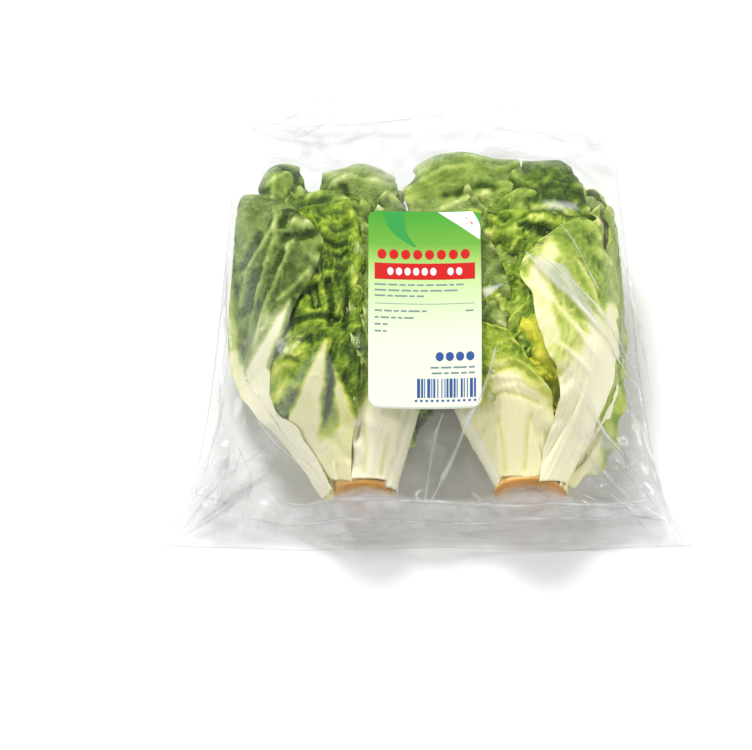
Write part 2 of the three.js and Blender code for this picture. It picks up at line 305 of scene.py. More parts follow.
def set_uv(piece, spot, u, v):
    corner = np.empty(len(piece.data.loops), dtype=int)
    piece.data.loops.foreach_get("vertex_index", corner)
    pairs = np.stack([u[spot], v[spot]], axis=1)[corner]
    piece.data.uv_layers[0].data.foreach_set("uv", pairs.ravel())


def face_out(piece, outward=(0, 0, 1)):
    """Turns the faces over where their average normal points away from outward."""
    normals = np.empty(len(piece.data.polygons) * 3)
    piece.data.polygons.foreach_get("normal", normals)
    if normals.reshape(-1, 3).mean(0) @ np.array(outward) < 0:
        edit_all(piece, bpy.ops.mesh.flip_normals)


def add_wall(piece, thickness):
    """Thickens a sheet inwards."""
    select_only(piece)
    wall = piece.modifiers.new("wall", "SOLIDIFY")
    wall.thickness = thickness * MM
    wall.offset = -1.0
    bpy.ops.object.modifier_apply(modifier=wall.name)


MERGE_DISTANCE = 0.02


def close_up(piece):
    """Merges corners that meet and turns the faces outwards."""
    edit_all(
        piece,
        lambda: bpy.ops.mesh.remove_doubles(threshold=MERGE_DISTANCE * MM),
        lambda: bpy.ops.mesh.normals_make_consistent(inside=False),
    )


def join(pieces):
    """Joins like pieces into the first one."""
    select_only(*pieces)
    bpy.ops.object.join()


def finish_piece(piece, material, slot, *nodes):
    piece.data.polygons.foreach_set("use_smooth", [True] * len(piece.data.polygons))
    piece.data.materials.clear()
    piece.data.materials.append(material)
    piece.data.update()
    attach(piece, BODY)
    if nodes:
        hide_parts(*nodes)


# ---------------------------------------------------------------- material helpers


class Nodes:
    """Adds and joins the nodes of one material or group."""

    def __init__(self, tree):
        self.tree = tree
        tree.nodes.clear()

    def feed(self, socket, value):
        """Links an output to a socket, or sets the socket's own value."""
        if isinstance(value, bpy.types.NodeSocket):
            self.tree.links.new(value, socket)
        else:
            socket.default_value = value

    def add(self, kind, inputs=(), **settings):
        """A new node. Each input is given by name or number, with a value or another node's output."""
        node = self.tree.nodes.new(kind)
        for key, value in settings.items():
            setattr(node, key, value)
        for key, value in dict(inputs).items():
            self.feed(node.inputs[key], value)
        return node

    def attribute(self, name):
        return self.add("ShaderNodeAttribute", attribute_name=name).outputs["Fac"]

    def place(self):
        return self.add("ShaderNodeTexCoord").outputs["Object"]

    def math(self, operation, *values, clamp=False):
        return self.add("ShaderNodeMath", enumerate(values), operation=operation, use_clamp=clamp).outputs[0]

    def blend(self, factor, first, second, mode="MIX"):
        node = self.add("ShaderNodeMix", data_type="RGBA", blend_type=mode)
        for number, value in ((0, factor), (6, first), (7, second)):
            self.feed(node.inputs[number], value)
        return node.outputs[2]

    def ramp(self, factor, stops):
        node = self.add("ShaderNodeValToRGB", {0: factor})
        elements = node.color_ramp.elements
        while len(elements) < len(stops):
            elements.new(0.5)
        for element, (place, colour) in zip(elements, stops):
            element.position = place
            element.color = (*colour, 1.0)
        return node.outputs[0]

    def noise(self, where, scale, detail=2.0):
        return self.add("ShaderNodeTexNoise", {"Vector": where, "Scale": scale, "Detail": detail}).outputs[0]

    def bump(self, height, strength, distance):
        inputs = {"Height": height, "Strength": strength, "Distance": distance}
        return self.add("ShaderNodeBump", inputs).outputs[0]

    def mix_shaders(self, share, first, second):
        return self.add("ShaderNodeMixShader", {0: share, 1: first, 2: second}).outputs[0]

    def end(self, shader):
        self.add("ShaderNodeOutputMaterial", {0: shader})

    def end_in_surface(self, colour, roughness, inputs=()):
        """Ends the material in a plain surface."""
        surface = {"Base Color": colour, "Roughness": roughness, **dict(inputs)}
        self.end(self.add("ShaderNodeBsdfPrincipled", surface).outputs[0])


def new_material(name):
    material = bpy.data.materials.new(name)
    material.use_nodes = True
    return material, Nodes(material.node_tree)


# ---------------------------------------------------------------- the hearts' form

STEM_CUT_Y = -86.0


class Heart(NamedTuple):
    """Where a heart lies: (distance from the cut stem, place across the pack) along its axis."""

    name: str
    axis: tuple
    stem_radius: float
    stem_clean: float
    seed: int


LEFT = Heart("left", ((0, -27), (12, -30), (30, -35), (66, -42), (150, -46)), 12.8, 0.42, 11)
RIGHT = Heart("right", ((0, 45), (20, 45), (66, 43.5), (150, 43)), 15.6, 1.0, 57)

HALF_WIDTH = ((0, 15), (7, 16.6), (20, 25), (36, 34.5), (51, 40.5), (63, 43), (110, 43))
HALF_THICKNESS = ((0, 14.5), (7, 15.5), (20, 19.5), (36, 25.5), (51, 29.5), (66, 31.5), (110, 31.5))
MID_HEIGHT = ((0, 18), (12, 18.5), (24, 22), (36, 26), (51, 29.8), (66, 31.5), (110, 31.5))
HEAD_CLOSES_FROM = 110.0
HEAD_CLOSES_OVER = 42.0
TOP_CLOSING = 0.75
SIDE_DROP = 22
SQUARENESS = 2.5


def half_sizes(along, depth, close):
    """Half of a heart's width and thickness, depth below its skin, where its head closes by a share."""
    wide = profile(HALF_WIDTH, along) * np.sqrt(np.clip(1 - 0.93 * close**2, 0.05, 1)) - depth
    thick = profile(HALF_THICKNESS, along) * np.sqrt(np.clip(1 - 0.8 * close**2, 0.08, 1)) - depth
    return wide, thick


def heart_surface(heart, turn, along, depth, closing=1.0):
    """Point on a heart: turn round it from straight up, distance along it, and depth below its skin."""
    close = closing * np.clip((along - HEAD_CLOSES_FROM) / HEAD_CLOSES_OVER, 0, 1.15)
    wide, thick = (np.maximum(size, 1.0) for size in half_sizes(along, depth, close))
    power = 2 / SQUARENESS
    across, up = (np.sign(part) * np.abs(part) ** power for part in (np.sin(turn), np.cos(turn)))
    x = profile(heart.axis, along) + wide * across
    z = profile(MID_HEIGHT, along) + thick * up
    return x, STEM_CUT_Y + along, z


class Leaf(NamedTuple):
    """One leaf. Lengths are in millimetres, and turns in degrees round the heart from straight up."""

    name: str
    turn: float
    lean: float = 0.0
    length: float = 140.0
    half: float = 42.0
    depth: float = 2.0
    tuck: float = 1.0
    rib: float = 9.0
    rib_to: float = 110.0
    green_from: float = 60.0
    wing: float = 28.0
    tone: float = 0.7
    warmth: float = 0.2
    crinkle: float = 1.1
    cell: float = 7.0
    folds: float = 1.6
    ruffle: float = 2.2
    step: float = 1.3


VEIN_SPACING = 13.0
VEIN_HALF_WIDTH = 1.2
WAVE_LENGTH = 15.0
FRILL_LENGTH = 7.5


def leaf_relief(leaf, length, p, q, reach, edge, seed):
    """How far the leaf's outer face stands out, and its greenness, over p across and q along it."""
    t = np.clip(q / length, 0, 1)
    rib_share = np.clip(1 - q / leaf.rib_to, 0, 1)
    rib_half = 0.6 + leaf.rib * rib_share**1.15
    on_rib = (1 - smooth((np.abs(p) - rib_half) / 5.0)) * smooth(3 * rib_share)
    wander = 8.0 * soft_noise(p / 11, q / 17, seed) + 4.0 * soft_noise(p / 4, q / 9, seed + 10)
    start = leaf.green_from - leaf.wing * smooth(np.abs(p) / reach) + wander
    blade = smooth((q - start) / 22.0) * (1 - 0.8 * on_rib)
    # Side veins leave the midrib upwards, and the blade puckers between small veins
    drift = 4.0 * soft_noise(p / 12, q / 12, seed + 1)
    phase = (q - 1.1 * np.abs(p) + drift) / VEIN_SPACING + 0.37 * (p > 0)
    to_vein = np.abs(phase - np.rint(phase)) * VEIN_SPACING
    vein = bell(to_vein, VEIN_HALF_WIDTH) * smooth(1.6 * rib_share + 0.3)
    size = leaf.cell
    bend_p = 0.5 * size * soft_noise(p / size, q / size, seed + 30)
    bend_q = 0.5 * size * soft_noise(p / size + 31, q / size, seed + 31)
    coarse = 1 - np.abs(soft_noise((p + bend_p) / (0.8 * size), (q + bend_q) / (1.3 * size), seed + 2)) * 2.4
    medium = 1 - np.abs(soft_noise((p + bend_q) / (0.42 * size), (q + bend_p) / (0.6 * size), seed + 3)) * 2.4
    fine = soft_noise(p / (0.2 * size), q / (0.24 * size), seed + 11)
    crest = np.maximum(0.52 * coarse + 0.48 * medium, 0.9 * vein)
    rise = leaf.crinkle * blade * (crest + 0.2 * fine)
    rise += leaf.folds * soft_noise(p / 10, q / 28, seed + 4) * smooth((q - start + 10) / 40)
    rise += 0.7 * leaf.folds * soft_noise(p / 7, q / 9, seed + 5) * blade
    rib_height = mix(3.0, 0.6, smooth(t / 0.7)) * smooth(3 * rib_share)
    rise += rib_height * np.sqrt(np.clip(1 - (p / rib_half) ** 2, 0, 1)) - 0.4 * rib_height
    rise += 0.12 * np.sin(p * 2.2 + 1.5 * soft_noise(p / 5, q / 40, seed + 6)) * (1 - blade)
    wave = np.sin(2 * np.pi * (q + 0.6 * p) / WAVE_LENGTH + 2.5 * soft_noise(q / 21, p / 21, seed + 7))
    frill = np.sin(2 * np.pi * (q - 0.4 * p) / FRILL_LENGTH + 2.0 * soft_noise(q / 9, p / 9, seed + 8))
    rise += leaf.ruffle * (wave + 0.3 * frill) * bell(edge, 6.0) * smooth((q - start + 25) / 30)
    tone = blade * leaf.tone * (1 + 0.14 * soft_noise(p / 9, q / 12, seed + 9))
    tone -= 0.16 * vein * tone
    return rise, tone


def spread(values, cells_wide):
    """Averages over a square of cells, by running sums."""
    reach = 2 * cells_wide + 1
    for axis in (0, 1):
        margins = [(0, 0), (0, 0)]
        margins[axis] = (cells_wide + 1, cells_wide)
        sums = np.cumsum(np.pad(values, margins, mode="edge"), axis=axis)
        size = sums.shape[axis]
        values = (np.take(sums, range(reach, size), axis) - np.take(sums, range(size - reach), axis)) / reach
    return values


NEAR_REACH = 1.6
WIDE_REACH = 3.6


def hollow(rise, step):
    """How far each point lies below its surroundings, in millimetres: creases are above 0."""
    near = spread(rise, max(1, round(NEAR_REACH / step)))
    wide = spread(near, max(1, round(WIDE_REACH / step)))
    return np.clip(near - rise, -0.8, 0.8) + 0.6 * np.clip(wide - near, -1.2, 1.8)


class Fold(NamedTuple):
    """A ridge (rise above 0) or groove across a leaf, along a line in plan; its tone shift darkens or pales it: painted
    shade in most grooves, painted light on most ridges, and the leaf's own tint where it has no rise.
    """

    line: tuple
    half: float
    rise: float
    tint_and_painted_light: float = 0.0


class Pale(NamedTuple):
    """A pale rib or patch of a leaf: a line in plan that widens from one half width to another."""

    line: tuple
    from_half: float
    to_half: float
    share: float = 0.9


class Blade(NamedTuple):
    """A leaf that shows on top of a heart, between two edges in plan, in millimetres from foot to tip."""

    name: str
    left: tuple
    right: tuple
    depth: float = 2.0
    heights: tuple = ()
    crown: float = 5.0
    rib_at: tuple = (0.0, 0.0)
    rib: float = 9.0
    rib_to: float = 110.0
    green_from: float = 60.0
    wing: float = 28.0
    tone: float = 0.7
    warmth: float = 0.2
    crinkle: float = 1.1
    cell: float = 7.0
    folds: float = 1.6
    ruffle: float = 1.6
    curl: tuple = (0.0, 0.0)
    lines: tuple = ()
    pale: tuple = ()
    step: float = 0.9


def heart_top(heart, x, y, depth):
    """Height of a heart's upper skin in plan, depth below its outermost leaves."""
    along = y - STEM_CUT_Y
    close = TOP_CLOSING * np.clip((along - HEAD_CLOSES_FROM) / HEAD_CLOSES_OVER, 0, 1.2)
    wide, thick = half_sizes(along, depth, close)
    across = np.abs(x - profile(heart.axis, along)) / np.maximum(wide, 1)
    dome = np.clip(1 - across**SQUARENESS, 0, 1) ** (1 / SQUARENESS)
    return profile(MID_HEIGHT, along) + thick * dome - SIDE_DROP * np.maximum(across - 1, 0)


def surface_normals(x, y, z):
    along = [np.gradient(c, axis=0) for c in (x, y, z)]
    across = [np.gradient(c, axis=1) for c in (x, y, z)]
    n = np.stack([
        along[1] * across[2] - along[2] * across[1],
        along[2] * across[0] - along[0] * across[2],
        along[0] * across[1] - along[1] * across[0],
    ])
    return -n / np.maximum(np.linalg.norm(n, axis=0), 1e-9)


LEAF_WALL = 0.5
LEAF_FOOT = 16.0
LEAF_START = 3.0
TIP_ROUNDING = 0.16
DARKEST_TONE = 0.95
PAINTED_CREASE_SHADE = 0.05
PAINTED_CREASE_SHADE_OF_TONE = 0.42


def finish_leaf(piece, spot, places, look, p, q, rise, tone, material, outward=(0, 0, 1)):
    """Sets a leaf's corners and shades, with painted shade darkening its creases and painted light paling its crests,
    and its wall.
    """
    set_places(piece, spot, *places)
    # Painted shade: the tone darkens in creases and pales on crests, by how far each point lies below its surroundings
    painted_shade = PAINTED_CREASE_SHADE + PAINTED_CREASE_SHADE_OF_TONE * np.clip(tone, 0, 1)
    tone = np.clip(tone + painted_shade * hollow(rise, look.step), 0, DARKEST_TONE)
    set_values(piece, spot, "tone", tone)
    set_values(piece, spot, "warmth", np.full_like(tone, look.warmth))
    set_uv(piece, spot, p * UV_UNIT, q * UV_UNIT)
    face_out(piece, outward)
    add_wall(piece, LEAF_WALL)
    finish_piece(piece, material, "leaf", "bag")


def make_leaf(heart, leaf, number, material):
    columns, rows = int(2 * leaf.half / leaf.step), int(leaf.length / leaf.step)
    piece, spot, a, b = new_grid(f"{heart.name}_{leaf.name}", columns, rows)
    seed = heart.seed + 17 * number
    reach = mix(LEAF_FOOT, leaf.half, smooth(b / 0.62)) * (1 - 0.22 * smooth((b - 0.72) / 0.28))
    top_edge = 1 - TIP_ROUNDING * np.abs(a) ** 2.4 + 0.02 * soft_noise(a * 3 + 4, b * 0, seed + 20) * b
    q = b * leaf.length * top_edge
    p = a * reach * (1 + 0.04 * soft_noise(b * 9, np.sign(a) * 3.3, seed + 21))
    edge = np.maximum(np.minimum(reach - np.abs(p), leaf.length * top_edge - q), 0)
    rise, tone = leaf_relief(leaf, leaf.length, p, q, reach, edge, seed)
    along = LEAF_START + q
    radius = (profile(HALF_WIDTH, along) + profile(HALF_THICKNESS, along)) / 2
    turn = np.radians(leaf.turn + leaf.lean * b) + p / np.maximum(radius, 12)
    x, y, z = heart_surface(heart, turn, along, leaf.depth + leaf.tuck * a)
    normal = surface_normals(x, y, z)
    centre_x, centre_z = profile(heart.axis, along), profile(MID_HEIGHT, along)
    outward = np.sign(((x - centre_x) * normal[0] + (z - centre_z) * normal[2]).mean())
    x, y, z = (c + outward * n * rise for c, n in zip((x, y, z), normal))
    places = inside_bag(x, y, z, 1.2 + 0.55 * max(leaf.depth, 0))
    middle = np.radians(leaf.turn + leaf.lean * 0.5)
    finish_leaf(piece, spot, places, leaf, p, q, rise, tone, material, (math.sin(middle), 0, math.cos(middle)))


def make_blade(heart, blade, number, material):
    (lx, ly), (rx, ry) = (curve(side, np.linspace(0, 1, 200)) for side in (blade.left, blade.right))
    length = np.hypot(np.diff((lx + rx) / 2), np.diff((ly + ry) / 2)).sum()
    width = np.hypot(rx - lx, ry - ly).max()
    piece, spot, a, b = new_grid(f"{heart.name}_{blade.name}", int(1.25 * width / blade.step), int(length / blade.step))
    seed = heart.seed + 31 * number + 500
    (lx, ly), (rx, ry) = curve(blade.left, b), curve(blade.right, b)
    x, y = mix(lx, rx, (a + 1) / 2), mix(ly, ry, (a + 1) / 2)
    half = np.hypot(rx - lx, ry - ly) / 2
    runs = np.hypot(np.diff((lx[:, 0] + rx[:, 0]) / 2), np.diff((ly[:, 0] + ry[:, 0]) / 2))
    q = np.concatenate([[0], np.cumsum(runs)])[:, None] + 0 * a
    p = (a - curve(blade.rib_at, b)[0]) * half
    edge = np.minimum((1 - np.abs(a)) * half, (1 - b) * length)
    side = np.sign(a)
    sway = 1.1 * soft_noise(q / 12, side * 2.2 + 3, seed + 21) + 0.4 * soft_noise(q / 5, side + 7, seed + 22)
    x = x + sway * smooth((q - blade.green_from + 30) / 30) * np.abs(a) ** 3 * side
    rise, tone = leaf_relief(blade, length, p, q, np.maximum(half, 4), edge, seed)
    rise += blade.curl[0] * bell((1 + a) * half, 6) + blade.curl[1] * bell((1 - a) * half, 6)
    for fold in blade.lines:
        away, place = to_line(fold.line, x, y)
        mark = bell(away, fold.half) * (smooth(place / 0.15) * smooth((1 - place) / 0.15))
        rise += fold.rise * mark
        # Painted shade in grooves and painted light on ridges, besides the leaf's own tint
        tone += fold.tint_and_painted_light * mark
    ragged = 0.9 * soft_noise(x / 7, y / 7, seed + 40) + 0.4 * soft_noise(x / 2.2, y / 2.2, seed + 41)
    for patch in blade.pale:
        away, place = to_line(patch.line, x, y)
        cover = smooth(0.5 + (mix(patch.from_half, patch.to_half, place) + ragged - away) / 3.5)
        tone *= 1 - patch.share * cover
        rise *= 1 - 0.7 * patch.share * cover
        rise += 0.6 * cover
    if blade.heights:
        z = curve(blade.heights, b)[0] + blade.crown * (1 - a**2)
    else:
        z = heart_top(heart, x, y, blade.depth)
    normal = surface_normals(x, y, z)
    up = np.sign(normal[2].mean())
    x, y, z = (c + up * n * rise for c, n in zip((x, y, z), normal))
    places = inside_bag(x, y, z, 0.3 + 0.55 * max(blade.depth, 0))
    finish_leaf(piece, spot, places, blade, p, q, rise, tone, material)


CORE_DEPTH = 9.0
CORE_CLOSING = 0.7
CORE_FILM_GAP = 3.5


def make_core(heart, material):
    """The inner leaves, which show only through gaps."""
    piece, spot, a, b = new_grid(f"{heart.name}_inner_leaves", 90, 110)
    turn = a * np.pi
    along = 6 + b * 132
    close = np.sqrt(np.clip(1 - (np.clip(b - 0.86, 0, 1) / 0.14) ** 2, 0, 1))
    x, y, z = heart_surface(heart, turn, along, CORE_DEPTH, CORE_CLOSING)
    axis_x, axis_z = profile(heart.axis, along), profile(MID_HEIGHT, along)
    wave = 1.6 * soft_noise(np.cos(turn) * 2.2 + 5 + b * 3, np.sin(turn) * 2.2 + 5 + b * 11, heart.seed + 400)
    round_x, round_z = np.sin(turn) * close * 3, np.cos(turn) * close * 3
    fold = soft_noise(round_x * 1.2 + 9, round_z * 1.2 + 9 + b * 2, heart.seed + 401)
    fold += 0.5 * soft_noise(round_x * 3 + 9, round_z * 3 + 9 + b * 5, heart.seed + 402)
    bumps = 1 + wave / 30 - 0.08 * np.clip(fold, 0, 1) * smooth((b - 0.5) / 0.3)
    size = (close * smooth(b / 0.05)) * bumps
    x, z = axis_x + (x - axis_x) * size, axis_z + (z - axis_z) * size
    set_places(piece, spot, *inside_bag(x, y, z, CORE_FILM_GAP))
    tone = smooth((along - 40) / 50) * np.clip(0.6 + 0.3 * fold, 0.4, 0.85)
    set_values(piece, spot, "tone", tone)
    set_values(piece, spot, "warmth", np.full_like(tone, 0.8))
    set_uv(piece, spot, turn * 0.3, along * UV_UNIT)
    close_up(piece)
    finish_piece(piece, material, "leaf", "bag")


STEM_HEIGHT = 18.0
STEM_TILT = math.radians(10)
STEM_ROUNDING = 1.6
STEM_FACE_SHARE = 0.6


def make_stem(heart, material):
    """The cut stem: a rough face that has browned, and the collar behind it."""
    piece, spot, a, b = new_grid(f"{heart.name}_cut_stem", 96, 40)
    turn = a * np.pi
    on_face = b < STEM_FACE_SHARE
    face = np.clip(b / STEM_FACE_SHARE, 0, 1)
    back = np.clip((b - STEM_FACE_SHARE) / (1 - STEM_FACE_SHARE), 0, 1)

    def round_noise(scale, place, seed):
        return soft_noise(np.cos(turn) * scale + place, np.sin(turn) * scale + place, heart.seed + seed)

    out = heart.stem_radius * (1 + 0.045 * round_noise(1.5, 4, 300))
    out = out * np.where(on_face, face**0.8, 1 - 0.02 * back - 0.16 * back**2)
    rough = 0.5 * round_noise(face * 5, 9, 301) + 0.22 * round_noise(face * 13, 9, 302)
    front = STEM_ROUNDING * smooth((face - 0.86) / 0.14) + rough * (1 - smooth((face - 0.85) / 0.15))
    inward = np.where(on_face, front, STEM_ROUNDING + 12 * back)
    x_off, up = out * np.sin(turn), out * np.cos(turn)
    x = profile(heart.axis, inward) + x_off
    y = STEM_CUT_Y + 0.5 + inward * math.cos(STEM_TILT) + up * math.sin(STEM_TILT)
    z = STEM_HEIGHT + up * math.cos(STEM_TILT) - inward * math.sin(STEM_TILT)
    set_places(piece, spot, *inside_bag(x, y, z, 0.6))
    set_values(piece, spot, "face", np.where(on_face, face, 1.0 + back * heart.stem_clean))
    set_uv(piece, spot, x_off / 30 + 0.5, up / 30 + 0.5)
    close_up(piece)
    finish_piece(piece, material, "stem_cut", "bag")


# A leaf tip shows no rib and is green from its lower edge
TIP = {"rib": 1, "rib_to": 1, "green_from": -60}

LEFT_LEAVES = (
    Leaf("back_leaf", 178, length=142, half=46, depth=1.0, step=2.4, tone=0.7),
    Leaf("under_right_leaf", 128, length=138, half=44, depth=2.5, step=2.2, tone=0.6),
    Leaf("under_left_leaf", -140, length=136, half=44, depth=3.5, step=2.2, tone=0.7),
    Leaf("inner_right_leaf", 60, length=134, half=40, depth=9.5, step=1.9, tone=0.7, warmth=0.6, crinkle=1.6),
    Leaf("inner_left_leaf", -50, length=132, half=40, depth=9.5, step=1.9, tone=0.7, warmth=0.6, crinkle=1.6),
    Leaf("inner_top_leaf", 8, length=128, half=36, depth=9.0, step=1.9, tone=0.75, warmth=0.6, crinkle=1.6),
    Leaf("right_leaf", 80, -8, length=134, half=38, depth=3.0, tuck=-1.5, tone=0.6, green_from=44, step=1.4),
    Leaf("left_side_leaf", -102, 4, length=132, half=38, depth=9.0, rib=12, rib_to=80, green_from=50, wing=10,
         tone=0.45, warmth=0.3, step=1.4),
)

LEFT_BLADES = (
    Blade(
        "base_leaf",
        left=((-46.6, -83.3), (-51, -74.9), (-50.9, -66.8), (-47.1, -54)),
        right=((-20, -79.5), (-22.9, -72), (-26, -64), (-33, -52)),
        depth=7.5, rib=8, rib_to=90, green_from=8, wing=6, tone=0.22, warmth=1.5, crinkle=0.6, folds=0.6, ruffle=0.3,
    ),
    Blade(
        "right_rib_leaf",
        left=((-33, -80), (-32.6, -64.5), (-33, -49.3), (-33.8, -29.2), (-33.8, -7.2), (-32.9, 15.7), (-31.2, 33.3)),
        right=((-13.1, -80), (-11, -68), (-4, -58), (4, -46), (6.5, -32), (6.5, -10), (3, 20)),
        depth=4.2, rib_at=(0.0, 0.0, -0.05, 0.0), rib=11, rib_to=78, green_from=26, wing=16, tone=0.6, warmth=0.4,
        crinkle=1.5, curl=(0.0, -1.0), ruffle=1.4,
        lines=(
            Fold(((-23, -62), (-20, -50), (-14, -40)), 2.0, 0.8, -0.05),
            Fold(((3, -42), (-4, -54), (-9, -64)), 3.2, 0.3, 0.32),
            Fold(((-28, -80), (-27, -68), (-28, -56)), 1.2, -0.8, 0.07),
            Fold(((-21, -80), (-19.5, -70), (-17, -60)), 1.2, -0.8, 0.07),
            Fold(((-24.5, -79), (-24, -66), (-23, -56)), 1.6, 0.5, 0.0),
        ),
    ),
    Blade(
        "front_leaf",
        left=((-51, -75.8), (-56.4, -67), (-63.3, -56.7), (-68.5, -49.4), (-71, -42.2), (-71.3, -34.3),
              (-68, -27.1), (-60.7, -19.1), (-56.3, -5.8), (-56.7, 7.8), (-58.9, 19.8), (-62.4, 35)),
        right=((-33.1, -81.2), (-33.1, -70.9), (-33, -61.2), (-31.2, -49.8), (-30.3, -36.4), (-29.4, -21.2),
               (-28.6, -7.7), (-28.1, 9.7), (-28.6, 24.4), (-35.9, 40)),
        depth=4.2, rib_at=(0.3, 0.3, 0.2, 0.1), rib=0.5, rib_to=8, green_from=4, wing=4, tone=0.74,
        warmth=1.15, crinkle=1.35, cell=4.8, folds=1.8, ruffle=0.8, curl=(-0.6, 0.4),
        pale=(
            Pale(((-44.2, -25.7), (-50.4, -45.6), (-56, -64), (-55, -78)), 0.5, 12.5, 0.96),
            Pale(((-41, -36), (-37, -50), (-33, -64)), 0.2, 5.5, 0.86),
            Pale(((-38, -78), (-44, -70)), 9.0, 5.0, 0.77),
        ),
        lines=(
            Fold(((-43.7, 26.6), (-39.4, 24.2), (-34.1, 27.1)), 1.0, -1.4, 0.08),
            Fold(((-45.2, 21.1), (-39.4, 17.4), (-34.6, 19.2)), 1.0, -1.5, 0.1),
            Fold(((-42.2, 13.6), (-38, 12.7), (-33.6, 15.7)), 1.0, -1.2, 0.06),
            Fold(((-45.6, 7.2), (-39, 8.2), (-34.8, 5.6)), 1.0, -1.5, 0.1),
            Fold(((-33.2, 37), (-31, 19.4), (-32, -4)), 2.6, 1.6, -0.22),
            Fold(((-50.3, 1.5), (-48.5, -12)), 2.0, -5.0, 0.25),
            Fold(((-58.9, -16.7), (-47.6, -14.5), (-35.9, -16.2)), 1.6, -2.6, 0.06),
            Fold(((-44.2, 5), (-41.6, -8.1), (-42.4, -21)), 1.6, -2.8, 0.06),
            Fold(((-35.5, 5.6), (-34.6, -8.1), (-36.4, -23)), 1.6, -2.6, 0.06),
            Fold(((-64, -48), (-64, -38), (-59, -28), (-54, -22)), 8.0, 0.4, -0.42),
            Fold(((-70, -38), (-63, -34), (-56, -36)), 1.5, 0.8, -0.03),
            Fold(((-66, -45), (-59, -41), (-52, -47)), 1.3, 0.7, -0.02),
            Fold(((-64, -28), (-58, -31), (-52, -29)), 1.5, 0.8, -0.03),
            Fold(((-68, -42), (-61, -38), (-56, -42)), 1.5, -0.9, 0.06),
            Fold(((-66, -33), (-60, -32), (-55, -35)), 1.4, -0.9, 0.06),
            Fold(((-60, -24), (-54, -26), (-49, -23)), 1.6, -1.0, 0.08),
            Fold(((-43.8, -28), (-41.2, -40), (-42.6, -49.7), (-46.2, -60)), 1.7, -1.0, 0.34),
            Fold(((-45.5, -44), (-46.5, -52), (-48, -64)), 1.8, -0.4, 0.24),
        ),
        step=0.75,
    ),
    Blade(
        "outer_left_leaf",
        left=((-45.2, -83.8), (-60.8, -63.7), (-73.1, -50.1), (-81.4, -37.2), (-87, -21.4), (-88.8, -1), (-89.2, 20.4),
              (-88.3, 40), (-81, 51)),
        right=((-41, -82.6), (-47, -72.6), (-54.8, -61.8), (-62.6, -53.1), (-68.7, -43.8), (-68.4, -34.8), (-62, -21),
               (-56.7, -8), (-48.3, 9.2), (-46.4, 22.8), (-58.4, 36.3)),
        depth=2.5, rib_at=(0.0, 0.0, -0.1, -0.45, -0.7, -0.8), rib=4, rib_to=60, green_from=30, wing=8, tone=0.74,
        warmth=0.15, crinkle=0.85, cell=5.5, folds=1.2, ruffle=0.8, curl=(-0.5, 0.8),
        pale=(
            Pale(((-60, -8), (-66, -20), (-75, -32), (-72, -46), (-60, -62), (-48, -76)), 0.5, 15.0, 0.95),
            Pale(((-86, -20), (-88, 5), (-88, 30)), 3.0, 1.0, 0.6),
            Pale(((-86, -20), (-84, -34), (-76, -46)), 3.0, 8.0, 0.85),
        ),
        lines=(
            Fold(((-77.4, -42.9), (-79.6, -30.5), (-74.7, -19.6), (-66.5, -9.1)), 4.2, 1.8, -0.4),
            Fold(((-78.3, -18.5), (-76.4, -5.8), (-71.1, 10.1), (-66.7, 23), (-67.6, 40)), 1.3, 1.1, -0.16),
            Fold(((-81.9, -3.4), (-79.1, 12.2), (-72, 20.2), (-65.8, 31.2)), 1.2, 1.0, -0.14),
            Fold(((-72, -20.2), (-68.5, -9.8), (-58.8, -1.7), (-49.3, 8.4)), 1.3, 1.0, -0.16),
            Fold(((-75.7, -25.5), (-72, -11.4), (-65.8, 3.4), (-60.6, 18.8), (-53.6, 24.8)), 1.3, 1.1, -0.16),
            Fold(((-82, 12), (-79.1, 17.6), (-72.7, 28)), 2.6, -2.0, 0.12),
            Fold(((-80, -8), (-78.7, -1.4), (-73.7, 11.6)), 2.6, -2.2, 0.14),
            Fold(((-64.1, 25.3), (-61.5, 36.4)), 2.0, -2.0, 0.14),
            Fold(((-65.2, 22.2), (-55.4, 21.6), (-45.7, 24.2)), 2.0, -2.6, 0.16),
            Fold(((-68.7, 5.4), (-62.2, 16.4)), 1.6, -1.6, 0.1),
            Fold(((-72, -16.8), (-64.8, -5.9)), 1.5, -1.4, 0.1),
            Fold(((-63.3, -14.7), (-56.1, -6.6)), 2.2, -2.0, 0.14),
            Fold(((-60, 30), (-54, 27.5), (-48, 29.5)), 2.4, 2.2, -0.2),
        ),
        step=0.75,
    ),
    Blade(
        "tip_tab",
        left=((-72.4, 36), (-73.4, 44), (-74.6, 52), (-72.6, 60), (-71.5, 66.5)),
        right=((-53.2, 37), (-51.3, 44), (-52.4, 50.5), (-54.5, 57), (-57.5, 64)),
        heights=(46, 44, 40, 35), crown=2, rib_at=(-0.3, -0.4), **TIP, tone=0.74, warmth=0.3,
        crinkle=0.6, cell=5.0, folds=1.6, ruffle=1.4, curl=(0.0, -2.0),
        lines=(
            Fold(((-69, 36), (-67, 58)), 1.2, 0.7, -0.12), Fold(((-63, 40), (-58, 52), (-57, 62)), 1.6, -1.6, 0.1),
            Fold(((-73, 50), (-66, 54), (-60, 60)), 1.2, 0.8, -0.08),
        ),
    ),
    Blade(
        "tip_dome",
        left=((-46.2, 36), (-47.5, 50.2), (-42.7, 60), (-36.8, 64)),
        right=((-13.3, 36), (-12.3, 49.8), (-15.1, 59.7), (-21.9, 64)),
        heights=(42, 43, 40, 33), crown=5, rib_at=(-0.5, -0.2), **TIP, tone=0.58, warmth=0.1,
        crinkle=0.8, cell=5.0, folds=2.0, ruffle=1.8,
        lines=(
            Fold(((-38, 52), (-36, 46), (-34, 40)), 2.2, -2.4, 0.2),
            Fold(((-46, 48), (-34, 55), (-20, 52)), 1.2, 0.8, -0.1),
        ),
    ),
)

